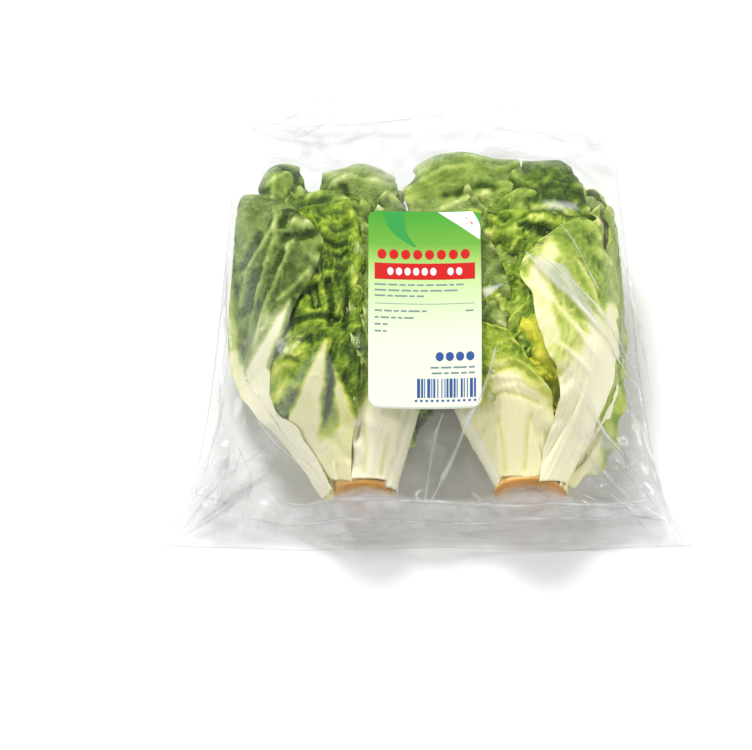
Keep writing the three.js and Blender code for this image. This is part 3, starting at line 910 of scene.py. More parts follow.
RIGHT_LEAVES = (
    Leaf("back_leaf", 178, length=142, half=46, depth=1.0, step=2.4, tone=0.7),
    Leaf("under_left_leaf", -128, length=140, half=44, depth=2.5, step=2.2, tone=0.6),
    Leaf("outer_right_leaf", 112, length=138, half=46, depth=1.0, step=1.6, tone=0.42, warmth=1.3, green_from=24,
         wing=20, ruffle=1.0),
    Leaf("inner_right_leaf", 60, length=136, half=40, depth=9.5, step=1.9, tone=0.6, warmth=0.7, crinkle=1.6),
    Leaf("inner_left_leaf", -50, length=132, half=40, depth=9.5, step=1.9, tone=0.6, warmth=0.7, crinkle=1.6),
    Leaf("inner_top_leaf", 4, length=130, half=36, depth=9.0, step=1.9, tone=0.6, warmth=0.6, crinkle=1.6),
    Leaf("left_leaf", -78, 6, length=138, half=42, depth=3.2, tuck=1.2, tone=0.62, green_from=46, step=1.4),
    Leaf("right_side_leaf", 86, -4, length=128, half=36, depth=6.0, rib=13, rib_to=90, green_from=50, wing=14,
         tone=0.3, warmth=0.8, step=1.4),
)

RIGHT_BLADES = (
    Blade(
        "back_edge",
        left=((58.9, -79.6), (67.7, -64.3), (73, -45.7), (74.8, -22.4), (74.8, 3.2), (71.3, 24.1), (69.5, 38)),
        right=((64.2, -80.1), (78.3, -70.3), (86.2, -49.9), (88.5, -25.7), (88.5, -1.5), (85.4, 20.8), (79.7, 38.5)),
        heights=(16, 18, 21, 23, 26, 30, 34), crown=3, rib=3, rib_to=30, green_from=16, wing=14, tone=0.36, warmth=1.2,
        crinkle=1.0, cell=5.0, ruffle=1.0,
    ),
    Blade(
        "upper_leaf",
        left=((14, -40), (9, -27.7), (8, -5.7), (9, 15), (14, 36)),
        right=((44, -40), (50, -28), (57, -7.6), (66, 10.3), (69, 33)),
        depth=5.0, rib=6, rib_to=40, green_from=-12, wing=12, tone=0.62, warmth=1.0, crinkle=1.9, cell=6.5, folds=3.0,
        ruffle=1.4,
        lines=(
            Fold(((8, -38), (24, -36), (40, -35), (52, -30)), 7.0, -3.5, 0.1),
            Fold(((24, 18), (31, 14), (40, 12)), 2.6, -3.0, 0.2),
            Fold(((38, 28), (48, 27), (58, 20)), 2.4, -2.8, 0.18),
            Fold(((16, 2), (26, 6)), 2.2, -2.5, 0.2),
            Fold(((24, 24), (34, 24), (44, 30)), 2.8, 2.4, -0.1),
            Fold(((18, -8), (24, -4), (33, -6)), 2.4, 2.0, -0.1),
        ),
        step=0.75,
    ),
    Blade(
        "yellow_leaf",
        left=((52, -55), (48, -44), (39, -30), (42, -14)),
        right=((60, -55), (63, -44), (61, -30), (54, -14)),
        depth=4.8, rib=1, rib_to=2, green_from=-12, wing=2, tone=0.3, warmth=2.0, crinkle=1.6, cell=5.0, folds=2.6,
        ruffle=1.2, lines=(Fold(((48, -60), (51, -50), (49, -42)), 4.0, -3.0, 0.0),), step=0.8,
    ),
    Blade(
        "front_leaf",
        left=((28.3, -77.6), (19.3, -63.4), (12.5, -49.8), (8.2, -38), (9.8, -24.9), (18.4, -15.1)),
        right=((50.3, -81), (53.5, -65.1), (54.4, -53), (49.3, -41.5), (40.8, -30), (33.8, -20.8)),
        depth=3.0, rib_at=(0.1, 0.15, 0.2, 0.2), rib=12, rib_to=56, green_from=30, wing=12, tone=0.42, warmth=1.2,
        crinkle=1.2, cell=5.0, folds=1.6, ruffle=0.8, curl=(0.0, 0.3),
        lines=(
            Fold(((24, -28.5), (37.7, -25.5), (45.1, -30.2)), 1.2, 0.6, -0.02),
            Fold(((35, -80), (33.5, -68), (30, -54)), 1.2, -0.8, 0.06),
            Fold(((42.5, -80), (43, -66), (44.5, -54)), 1.2, -0.8, 0.06),
            Fold(((29, -72), (24, -60)), 2.0, 0.5, 0.03),
            Fold(((17, -33), (28, -35.5), (37.8, -33.2), (47, -38.7)), 1.2, 0.6, -0.02),
            Fold(((20, -42), (30, -40.2), (40, -41.5), (49.8, -46)), 1.2, 0.6, -0.02),
            Fold(((25, -47.5), (38.9, -43.8), (51.2, -49.2)), 1.1, 0.5, -0.02),
            Fold(((15, -38), (26, -38.9), (37.8, -36.5), (48, -42.2)), 1.0, -0.6, 0.07),
            Fold(((24, -49.5), (33, -46), (41, -48.6), (51.3, -52.5)), 1.0, -0.6, 0.07),
        ),
        step=0.75,
    ),
    Blade(
        "smooth_leaf",
        left=((48.3, -82), (51, -68), (55.5, -55), (57, -41), (51.2, -28.4), (47.7, -16.8), (45.8, -5.2),
              (40.5, 4.5), (42.5, 12.5), (49, 19)),
        right=((64.5, -79), (76.5, -60), (83, -43), (85, -27.6), (85.8, -8.5), (84.1, 7.1), (80.3, 17.2),
               (76.1, 27.3), (71.1, 33.3), (62, 30)),
        depth=2.0, rib_at=(0.0, 0.1, 0.3, 0.45, 0.4, 0.2), rib=12, rib_to=70, green_from=52, wing=14, tone=0.26,
        warmth=0.8, crinkle=1.0, cell=5.5, folds=1.4, ruffle=1.6, curl=(0.8, -0.5),
        pale=(
            Pale(((52, -24), (49, -8), (48, 4), (54, 14)), 5.0, 4.0, 0.7),
            Pale(((76, -56), (82, -40), (84, -20), (82, -8)), 7.0, 5.0, 0.88),
        ),
        lines=(
            Fold(((56, 26), (70, 18), (78, 4), (80, -14)), 9.0, 0.0, 0.24),
            Fold(((52, 22), (66, 27), (76, 22)), 5.0, -0.6, 0.16),
            Fold(((44, 6), (48, 14)), 4.0, 0.0, 0.06),
            Fold(((75.2, -34.2), (63.7, -19.2), (50.6, -4), (44.1, 8.6)), 1.2, 1.2, -0.1),
            Fold(((73.1, -22.2), (65.9, -7.7), (57.1, 6)), 1.2, 1.2, -0.1),
            Fold(((74.6, -42), (63.9, -31.9), (54.5, -25.1)), 1.2, 1.0, -0.08),
            Fold(((76, -14), (72, 0), (64, 14)), 1.2, 1.0, -0.1),
            Fold(((81, -2), (78, 8), (72, 16)), 2.0, -1.0, 0.04),
        ),
        step=0.75,
    ),
    Blade(
        "top_fold",
        left=((-7.2, 33), (-7.8, 42), (-9.2, 50.2), (-5.4, 57), (-5.6, 64), (-1, 70.5)),
        right=((35.2, 30), (38, 39), (40.8, 46.9), (41, 54), (42, 60), (40.7, 67.5)),
        heights=(45, 45, 42, 35), crown=4, rib_at=(-0.4, -0.2), **TIP, tone=0.56, warmth=0.5,
        crinkle=0.8, cell=5.5, folds=2.4, ruffle=1.6,
        lines=(
            Fold(((4, 44), (14, 46), (24, 50), (34, 49)), 2.2, -1.6, 0.2),
            Fold(((-4, 52), (8, 57), (20, 58)), 1.4, 0.9, -0.06),
            Fold(((4, 36), (14, 41), (30, 46)), 2.2, 1.8, -0.1),
        ),
    ),
    Blade(
        "top_curl",
        left=((33.9, 25), (35.2, 43.4), (38.7, 59), (44, 66)),
        right=((71, 28), (70, 45), (66.7, 57), (60.1, 65.5)),
        heights=(47, 48, 44, 37), crown=4, rib_at=(0.0, 0.1), **TIP, tone=0.88, warmth=0.6,
        crinkle=1.0, folds=2.4, ruffle=1.4,
        lines=(
            Fold(((44, 36), (56, 38), (66, 33)), 2.6, 2.6, -0.3),
            Fold(((58, 30), (67, 30), (74, 32)), 2.2, -3.2, 0.3),
            Fold(((38, 48), (48, 45), (58, 50)), 1.8, -1.4, 0.14),
        ),
    ),
    Blade(
        "right_tab",
        left=((66.3, 26), (68.1, 39.8), (70.7, 48), (73.4, 51)),
        right=((82, 27), (82.4, 40.8), (81, 47.4), (76.4, 50.6)),
        heights=(36, 37, 35, 30), crown=4, **TIP, tone=0.6, warmth=0.1, crinkle=1.2,
        folds=1.6, ruffle=1.4,
    ),
)


# ---------------------------------------------------------------- film


class Crease(NamedTuple):
    """A thin fold pressed into the film: its line in plan, and its widths at start, middle and end."""

    line: tuple
    widths: tuple = (0.2, 1.0, 0.2)
    rise: float = 0.5


CREASES = (
    Crease(((42.7, 12.9), (54.9, 0.0), (70.3, -14.2), (82.4, -24.8), (95.2, -34.6)), (0.3, 1.3, 0.9, 0.3)),
    Crease(((47.1, 13.3), (63.6, -0.7), (80.6, -15.4), (93.2, -27.1)), (0.2, 0.8, 0.6, 0.2)),
    Crease(((57.2, -37.3), (64.0, -42.8), (75.0, -54.6), (85.6, -62.9), (95.8, -75.7)), (0.2, 0.6, 1.0, 0.3)),
    Crease(((29.4, -29.7), (23.6, -48.0), (14.5, -63.3), (1.5, -87.7)), (0.3, 1.1, 1.3, 0.5)),
    Crease(((6.3, -55.6), (2.2, -66.0), (-1.2, -87.6)), (0.3, 1.0, 1.3, 0.5)),
    Crease(((57.9, 26.6), (63.6, 18.9), (74.8, -1.7)), (0.2, 0.6, 0.2)),
    Crease(((-75, -50), (-66, -62), (-56.2, -71.8), (-50.8, -76.6)), (0.2, 0.8, 0.6, 0.2)),
    Crease(((-66, -84.5), (-45, -88), (-29.6, -89.3), (-10, -88), (1.5, -87.7), (22, -89), (41.1, -91.4),
            (60, -89.5), (80, -86.9), (97, -83.4)), (0.3, 1.0, 0.7, 1.2, 0.7, 0.9, 0.4)),
    Crease(((-78, -92), (-50, -94.5), (-11.8, -95), (20, -95.5), (60, -94), (100, -90.9)), (0.2, 0.8, 0.4, 0.9, 0.3)),
    Crease(((-92.3, 101.0), (-56.6, 95.0), (-20, 98), (10, 100)), (0.2, 0.7, 0.3)),
    Crease(((84, 30), (90, 10), (94, -8), (101, -40)), (0.2, 0.9, 0.2)),
    Crease(((86, -30), (97, -58), (107, -88)), (0.2, 1.0, 0.3)),
    Crease(((-86, 45), (-88.5, 20), (-89.5, -9)), (0.2, 0.8, 0.2)),
    Crease(((-90, -38), (-95, -58), (-106, -88)), (0.2, 0.9, 0.3)),
    Crease(((-84, -60), (-78, -74), (-82, -92)), (0.2, 0.8, 0.2)),
    Crease(((72, -76), (84, -84), (98, -96)), (0.2, 0.8, 0.2)),
)


class PaintedLightVeil(NamedTuple):
    """A milky field of film that paints light: white as painted highlight, and greying what shows through as painted
    shade; the corners of a convex outline in plan, anticlockwise, and its haze.
    """

    corners: tuple
    haze_and_painted_light: float
    edge: float = 3.0


# Painted highlights, and painted shade on what shows through, laid on the film as milky veils
PAINTED_LIGHT_VEILS = (
    PaintedLightVeil(((22.9, -3.3), (24.6, -9.1), (35.4, -0.3)), 0.45, 1.2),
    PaintedLightVeil(((42.7, 12.9), (54, -1), (70, -14), (76, -16), (60, 8)), 0.34, 1.6),
    PaintedLightVeil(((48.5, 38.8), (52.7, 32.0), (68.6, 33.0), (66, 39)), 0.34, 3.0),
    PaintedLightVeil(((-80.8, -35.9), (-59.8, -32.2), (-58.9, -9.3), (-70.8, -12.6), (-87.4, -19.8)), 0.08, 1.0),
    PaintedLightVeil(((-44.6, -27.1), (-71.9, -54.6), (-50.5, -75.1), (-33, -58)), 0.10, 1.2),
    PaintedLightVeil(((-50.5, -75.1), (-27.5, -61.5), (-31, -57.5), (-50, -70)), 0.22, 1.6),
    PaintedLightVeil(((-96, -86), (-90, -102), (104, -102), (104, -86)), 0.22, 1.0),
    PaintedLightVeil(((-60, -87.5), (-62, -96), (70, -96), (66, -88.5)), 0.30, 0.8),
    PaintedLightVeil(((-90, -46), (-106, -90), (-62, -92), (-60, -82), (-78, -58)), 0.14, 5.0),
    PaintedLightVeil(((80, -52), (72, -84), (108, -94), (98, -50)), 0.14, 5.0),
    PaintedLightVeil(((84, 30), (84, -20), (97, -44), (102, -40), (92, 20)), 0.14, 4.0),
    PaintedLightVeil(((-8, -52), (-14, -84), (26, -84), (22, -52)), 0.05, 6.0),
)


LOOSE_CREASES_SEED = 41


def loose_creases():
    """Short folds where the film hangs loose: lower corners, sides, stem end and top."""
    rng = np.random.default_rng(LOOSE_CREASES_SEED)
    found = []
    for side in (-1, 1):
        for _ in range(7):
            start = (side * rng.uniform(58, 88), rng.uniform(-92, -52))
            end = (side * rng.uniform(90, 112), rng.uniform(-103, -78))
            found.append((start, end, rng.uniform(1.2, 3.2)))
        for _ in range(4):
            x, y = side * rng.uniform(86, 91), rng.uniform(-30, 30)
            found.append(((x, y), (x + side * rng.uniform(-1, 6), y - rng.uniform(25, 45)), rng.uniform(1.0, 2.4)))
        for _ in range(4):
            x, y = side * rng.uniform(30, 80), rng.uniform(74, 100)
            found.append(((x, y), (x - side * rng.uniform(14, 40), y + rng.uniform(-9, 9)), rng.uniform(1.0, 3.0)))
    for _ in range(9):
        x, y = rng.uniform(-80, 60), rng.uniform(-102, -89)
        found.append(((x, y), (x + rng.uniform(12, 45), y + rng.uniform(-2.5, 2.5)), rng.uniform(0.8, 2.0)))
    lines = []
    for (x0, y0), (x1, y1), wide in found:
        bow = rng.uniform(-0.06, 0.06)
        middle = ((x0 + x1) / 2 - bow * (y1 - y0), (y0 + y1) / 2 + bow * (x1 - x0))
        lines.append(Crease(((x0, y0), middle, (x1, y1)), (0.15, wide, 0.15), rng.uniform(0.3, 0.8)))
    return tuple(lines)


# Painted light and shade on the film from its veils, carried as haze
def painted_light_of_veils(x, y):
    haze_and_painted_light = np.zeros_like(x)
    for veil in PAINTED_LIGHT_VEILS:
        inside = np.full_like(x, 1e9)
        for (x0, y0), (x1, y1) in zip(veil.corners, veil.corners[1:] + veil.corners[:1]):
            run = math.hypot(x1 - x0, y1 - y0)
            inside = np.minimum(inside, ((x1 - x0) * (y - y0) - (y1 - y0) * (x - x0)) / run)
        haze_and_painted_light = np.maximum(haze_and_painted_light, veil.haze_and_painted_light * smooth(inside / veil.edge))
    return haze_and_painted_light


def slackness(x, y):
    """How loose the film is: taut over the hearts, crumpled at its ends and lower corners."""
    ends = np.maximum(smooth((-84 - y) / 8), smooth((y - 68) / 14))
    corners = smooth((-44 - y) / 22) * smooth((np.abs(x) - 58) / 14)
    gap = 0.6 * bell(x - 5, 14) * smooth((-50 - y) / 14)
    sides = 0.7 * smooth((np.abs(x) - 84) / 8)
    return np.maximum.reduce([ends, corners, gap, sides, np.full_like(x, 0.16)])


FILM_STEP = 1.05
RIM = 0.997
RIM_INSET = 105
CRUMPLE_RAISE = 1.2
# Each layer of crumples: its height, how far it is turned, the width of a facet, and its seed
CRUMPLES = ((1.9, 24, 21, 901), (1.3, 71, 10.5, 902), (0.8, 133, 5.2, 903))


def taut_film(x, y, inset, side):
    """The bag's upper (side 1) or lower (side -1) face, drawn to the middle height at its rim."""
    upper, lower = BAG.top(x * RIM, y * RIM), BAG.bottom(x * RIM, y * RIM)
    return mix((upper + lower) / 2, upper if side > 0 else lower, smooth(inset / 4.0))


def film_top(x, y, inset):
    """Height of the upper film, inset millimetres in from its rim, and its crumples."""
    crumple = sum(high * facets(*turned(x, y, degrees, size), seed) for high, degrees, size, seed in CRUMPLES)
    loose = smooth((inset - 1) / 8) * slackness(x, y)
    return taut_film(x, y, inset, 1) + loose * (crumple + CRUMPLE_RAISE), crumple * loose


def film_sheet(a, b, side):
    """Corners of the upper (side 1) or lower (side -1) film, in millimetres, and its haze, which carries painted light
    and shade.
    """
    x, y = outline(a, b)
    inset = np.minimum(1 - np.abs(a), 1 - np.abs(2 * b - 1)) * RIM_INSET
    if side < 0:
        return x, y, taut_film(x, y, inset, side), np.zeros_like(x)
    z, crumple = film_top(x, y, inset)
    # Each facet of a crumple is hazier, as painted shade, the more it leans away from the key light; crisp creases are
    # a little hazier too
    lean = np.gradient(crumple, axis=0) / FILM_STEP + 0.5 * np.gradient(crumple, axis=1) / FILM_STEP
    sharp = smooth(np.abs(hollow(z, FILM_STEP)) / 0.6)
    loose = slackness(x, y)
    return x, y, z, np.clip(painted_light_of_veils(x, y) + loose * (0.14 * sharp + 0.9 * np.clip(lean, 0, 0.5)), 0, 0.8)


FILM_CELLS = (226, 202)


def make_film(material):
    """The bag: an upper and a lower sheet that meet at the rim."""
    piece, spot, a, b = new_grid("film", *FILM_CELLS)
    under, under_spot, _, _ = new_grid("film_under", *FILM_CELLS)
    for sheet, where, side in ((piece, spot, 1), (under, under_spot, -1)):
        x, y, z, haze_and_painted_light = film_sheet(a, b, side)
        set_places(sheet, where, x, y, z)
        set_values(sheet, where, "haze_and_painted_light", haze_and_painted_light)
        set_uv(sheet, where, x * UV_UNIT, y * UV_UNIT)
    join([piece, under])
    close_up(piece)
    finish_piece(piece, material, "film", "bag")


MAIN_CREASE_BOLDNESS = 1.7
CREASE_HAZE_AND_HIGHLIGHT = 0.55
CREASE_STEP = 0.9
CREASE_LIFT = 0.12
CREASE_FADE = 0.1
CREASE_INSET = 20.0


def make_creases(material):
    """Thin folds that stand up a little on the upper film, with painted highlight along them as milky haze."""
    ribbons = []
    for number, crease in enumerate(CREASES + loose_creases()):
        length = sum(math.dist(p, q) for p, q in zip(crease.line, crease.line[1:]))
        piece, spot, a, b = new_grid(f"crease_{number}", 4, int(length / CREASE_STEP))
        x, y = curve(crease.line, b)
        sway = 0.22 * soft_noise(b * length / 9, b * 0 + number, 950)
        run_x, run_y = np.gradient(x, axis=0), np.gradient(y, axis=0)
        run = np.hypot(run_x, run_y)
        bold = MAIN_CREASE_BOLDNESS if number < len(CREASES) else 1.0
        half = bold * curve(crease.widths, b)[0] * (0.6 + 0.25 * soft_noise(b * length / 5, b * 0 + number, 951))
        off = a * np.maximum(half, 0.12) + sway
        x, y = x - run_y / run * off, y + run_x / run * off
        z, _ = film_top(x, y, CREASE_INSET)
        ends = smooth(b / CREASE_FADE), smooth((1 - b) / CREASE_FADE)
        z = z + CREASE_LIFT + crease.rise * (1 - np.abs(a)) * ends[0] * ends[1]
        set_places(piece, spot, x, y, z)
        # Painted highlight along each crease, as milky haze, strongest in its middle and uneven along its length
        uneven_highlight = 0.7 + 0.3 * soft_noise(b * length / 6, b * 0, 952)
        set_values(piece, spot, "haze_and_painted_light", CREASE_HAZE_AND_HIGHLIGHT * bold * (1 - 0.8 * np.abs(a)) * uneven_highlight)
        face_out(piece)
        ribbons.append(piece)
    join(ribbons)
    ribbons[0].name = ribbons[0].data.name = "film_creases"
    finish_piece(ribbons[0], material, "film", "bag")


# ---------------------------------------------------------------- sticker

LABEL_WIDTH = 49.0
LABEL_LENGTH = 87.0
LABEL_CORNER = 4.0
LABEL_CENTRE = (-1.3, -11.0)
LABEL_HEIGHT = 62.0
LABEL_SLOPE = 0.13
LABEL_BOW = 0.0029
LABEL_SAG = 2.2
LABEL_GAP = 0.3
LABEL_THICKNESS = 0.5


def label_place(across, down, lift):
    """Point on the sticker: fractions from its left and from its top, and height over its face."""
    a, b = (across - 0.5) * LABEL_WIDTH, (0.5 - down) * LABEL_LENGTH
    sag = LABEL_SAG * (1 - (a / (LABEL_WIDTH / 2)) ** 2)
    z = LABEL_HEIGHT + LABEL_SLOPE * b - LABEL_BOW * b * b - sag
    return a + LABEL_CENTRE[0], b + LABEL_CENTRE[1], z + LABEL_GAP + lift


def make_sticker(material):
    piece, spot, a, b = new_grid("sticker", 40, 72)
    down = 1 - b
    to_end = np.minimum(down, 1 - down) * LABEL_LENGTH
    inset = LABEL_CORNER - np.sqrt(np.clip(LABEL_CORNER**2 - np.clip(LABEL_CORNER - to_end, 0, None) ** 2, 0, None))
    across = 0.5 + a * (0.5 - inset / LABEL_WIDTH)
    x, y, z = label_place(across, down, LABEL_THICKNESS)
    set_places(piece, spot, x, y, z)
    set_uv(piece, spot, across, 1 - down)
    face_out(piece)
    add_wall(piece, LABEL_THICKNESS)
    finish_piece(piece, material, "label", "label")


PRINT_LIFT = 0.05
UPPER_PRINT_LIFT = 0.1


def print_patch(left, right, top, bottom, lift=PRINT_LIFT):
    """A printed field on the sticker: edges as fractions of its width, each one number or knots
    from top to bottom, between two fractions of its length."""
    left, right = np.atleast_1d(left), np.atleast_1d(right)
    left, right = (np.repeat(edge, 2) if len(edge) == 1 else edge for edge in (left, right))
    across_cells = max(1, int((right.max() - left.min()) * 20))
    down_cells = max(1, 3 * (len(left) - 1) if len(left) > 2 else int((bottom - top) * 40))
    piece, spot, a, b = new_grid("print", across_cells, down_cells)
    across = mix(curve(left, 1 - b)[0], curve(right, 1 - b)[0], (a + 1) / 2)
    x, y, z = label_place(across, mix(bottom, top, b), LABEL_THICKNESS + lift)
    set_places(piece, spot, x, y, z)
    face_out(piece)
    return piece


def print_oval(across, down, half_width, half_length, lift=PRINT_LIFT):
    bulge = np.sqrt(1 - np.linspace(-0.98, 0.98, 9) ** 2) * half_width
    return print_patch(across - bulge, across + bulge, down - half_length, down + half_length, lift)


PRINT_WALL = 0.03


def finish_print(name, patches, material, slot):
    join(patches)
    patches[0].name = patches[0].data.name = name
    add_wall(patches[0], PRINT_WALL)
    finish_piece(patches[0], material, slot, "label")
    bpy.ops.object.shade_flat()


# Edges of printed fields as fractions of the sticker: left and right, top and bottom
SWOOSH = ((0.13, 0.16, 0.24, 0.40), (0.32, 0.325, 0.35, 0.43), 0.004, 0.195)
WHITE_CORNER = ((0.62, 0.81, 0.985), (0.93, 0.992, 0.992), 0.004, 0.16)
RED_BAND = (0.055, 0.945, 0.283, 0.368)
BAND_OVALS = 9
BAND_GAP = 6
BAND_OVAL_SIZE = (0.027, 0.02)
# Rows of ovals: place down the sticker, half width and half length
RED_OVALS = (0.236, 0.04, 0.026)
BLUE_OVALS = (0.752, 0.036, 0.022)
# Rows of dashes: where each starts, then where its runs end and go on, and its place down the sticker
SMALL_LINES = (
    (0.055, (0.88,), 0.395), (0.055, (0.80,), 0.424), (0.055, (0.46, 0.53), 0.452),
    (0.055, (0.50, 0.86, 0.94), 0.528), (0.055, (0.40,), 0.562), (0.055, (0.17,), 0.596), (0.055, (0.16,), 0.63),
    (0.55, (0.94,), 0.805), (0.56, (0.66, 0.94), 0.832),
)
DASH_HALF_HEIGHT = 0.0042
DASH_GAP = 0.018
DASHES_SEED = 77
BARS = (0.43, 0.95, 0.858, 0.948)
BAR_STEPS = (3, 1, 2, 1, 1, 2, 3, 1, 1, 1, 2, 2, 1, 3, 1, 2, 1, 1, 2, 1, 3, 1, 2, 1, 1, 3, 2, 1, 1, 2, 1, 2, 3, 1, 2)


def print_swoosh():
    return [print_patch(*SWOOSH)]


def print_white():
    """The white corner, and a row of ovals with a gap on the red band."""
    left, right, top, bottom = RED_BAND
    white = [print_patch(*WHITE_CORNER)]
    for number, across in enumerate(np.linspace(left + 0.14, right - 0.14, BAND_OVALS)):
        if number != BAND_GAP:
            white.append(print_oval(across, (top + bottom) / 2, *BAND_OVAL_SIZE, lift=UPPER_PRINT_LIFT))
    return white


def print_red():
    """The red band, a row of ovals above it, and two dashes in the white corner."""
    red = [print_patch(*RED_BAND)]
    red += [print_oval(across, *RED_OVALS) for across in np.linspace(0.12, 0.86, 8)]
    red += [print_patch((0.80 + k, 0.87 + k), (0.815 + k, 0.885 + k), 0.03, 0.075) for k in (0.0, 0.05)]
    return red


def print_lines():
    """Rows of small dashes, in place of small lettering."""
    rng = np.random.default_rng(DASHES_SEED)
    dashes = [print_patch(0.055, 0.945, 0.4905, 0.4935)]
    for start, ends, down in SMALL_LINES:
        place = start
        while place < ends[-1] - 0.02:
            wide = min(rng.uniform(0.035, 0.12), ends[-1] - place)
            dashes.append(print_patch(place, place + wide, down - DASH_HALF_HEIGHT, down + DASH_HALF_HEIGHT))
            place += wide + DASH_GAP
            for gap_from, gap_to in zip(ends[0::2], ends[1::2]):
                if gap_from < place < gap_to and len(ends) == 3:
                    place = gap_to
    return dashes


def print_blue():
    """Plain bars of mixed widths that stand for nothing, ticks under them and ovals above them."""
    left, right, top, bottom = BARS
    unit = (right - left) / sum(BAR_STEPS)
    bars, place = [], left
    for number, step in enumerate(BAR_STEPS):
        if number % 2 == 0:
            bars.append(print_patch(place, place + step * unit, top, bottom))
        place += step * unit
    for tick in np.linspace(left - 0.02, right - 0.02, 12):
        bars.append(print_patch(tick, tick + 0.022, 0.957, 0.967))
    return bars + [print_oval(across, *BLUE_OVALS) for across in (0.63, 0.72, 0.81, 0.90)]


# Each print's name, fields, material, colour and slot
PRINTS = (
    ("print_swoosh", print_swoosh, "green print", (0.045, 0.34, 0.07), "label_green"),
    ("print_white", print_white, "white print", (0.9, 0.9, 0.88), "label"),
    ("print_red", print_red, "red print", (0.62, 0.016, 0.014), "label_red"),
    ("print_lines", print_lines, "grey print", (0.22, 0.30, 0.33), "label_blue"),
    ("print_blue", print_blue, "blue print", (0.045, 0.11, 0.36), "label_blue"),
)


# ---------------------------------------------------------------- materials


def leaf_material():
    material, n = new_material("lettuce leaf")
    tone, warmth = n.attribute("tone"), n.attribute("warmth")
    where = n.add("ShaderNodeUVMap").outputs[0]
    net = n.add("ShaderNodeTexVoronoi", {"Vector": where, "Scale": 34.0}, feature="DISTANCE_TO_EDGE")
    lines = n.math("MULTIPLY", net.outputs["Distance"], 6.0, clamp=True)
    mottling = n.math("MULTIPLY_ADD", n.noise(where, 22.0, 4.0), 0.5, -0.25)
    # Tone from the leaf's attribute, which carries painted shade and light in creases and folds, with random mottling
    tint_and_painted_light = n.math("ADD", tone, n.math("MULTIPLY", mottling, n.math("MULTIPLY", tone, 1.6, clamp=True)), clamp=True)
    light_net = n.math("MULTIPLY", n.math("SUBTRACT", 1.0, lines), n.math("MULTIPLY", tone, 0.06))
    tint_and_painted_light = n.math("SUBTRACT", tint_and_painted_light, light_net, clamp=True)
    cool = n.ramp(tint_and_painted_light, (
        (0.0, (0.95, 0.92, 0.68)),
        (0.15, (0.70, 0.73, 0.36)),
        (0.32, (0.40, 0.48, 0.17)),
        (0.52, (0.24, 0.32, 0.08)),
        (0.72, (0.135, 0.20, 0.038)),
        (0.88, (0.065, 0.11, 0.018)),
        (1.0, (0.03, 0.055, 0.008)),
    ))
    warm = n.ramp(tint_and_painted_light, (
        (0.0, (0.95, 0.92, 0.60)),
        (0.15, (0.72, 0.76, 0.20)),
        (0.32, (0.40, 0.52, 0.06)),
        (0.52, (0.22, 0.34, 0.026)),
        (0.72, (0.115, 0.20, 0.014)),
        (0.88, (0.055, 0.11, 0.009)),
        (1.0, (0.025, 0.055, 0.005)),
    ))
    colour = n.blend(n.math("MULTIPLY", warmth, 1.0, clamp=True), cool, warm)
    golden = n.math("SUBTRACT", warmth, 1.0, clamp=True)
    colour = n.blend(golden, colour, (1.0, 0.9, 0.32, 1), "MULTIPLY")
    pucker = n.math("SUBTRACT", n.noise(where, 48.0, 3.0), n.math("MULTIPLY", lines, 0.3))
    n.end_in_surface(colour, 0.42, {
        "Specular IOR Level": 0.22,
        "Subsurface Weight": 0.12,
        "Subsurface Radius": (0.004, 0.005, 0.001),
        "Subsurface Scale": 0.6,
        "Normal": n.bump(n.math("MULTIPLY", pucker, tone), 0.9, 0.0014),
    })
    return material


def stem_material():
    material, n = new_material("cut stem")
    blotch = n.noise(n.place(), 130.0, 5.0)
    base = n.ramp(n.math("MULTIPLY", n.attribute("face"), 0.5), (
        (0.0, (0.84, 0.62, 0.46)),
        (0.14, (0.80, 0.58, 0.40)),
        (0.20, (0.56, 0.36, 0.22)),
        (0.26, (0.80, 0.60, 0.40)),
        (0.40, (0.86, 0.55, 0.22)),
        (0.46, (0.60, 0.27, 0.05)),
        (0.50, (0.70, 0.34, 0.06)),
        (0.55, (0.95, 0.64, 0.24)),
        (0.62, (0.74, 0.38, 0.10)),
        (0.68, (0.93, 0.86, 0.58)),
        (1.0, (0.93, 0.91, 0.66)),
    ))
    brown = n.ramp(blotch, ((0.5, (0, 0, 0)), (0.62, (1, 1, 1))))
    colour = n.blend(n.math("MULTIPLY", brown, 0.55), base, (0.44, 0.20, 0.06, 1))
    n.end_in_surface(colour, 0.5, {"Normal": n.bump(blotch, 0.5, 0.001)})
    return material


FILM_MILK_AND_HIGHLIGHT = (0.84, 0.84, 0.84, 1.0)
FILM_HAZE_AND_SHADE_TINT = (0.62, 0.62, 0.62, 1.0)
FILM_EDGE_SHINE = 0.5


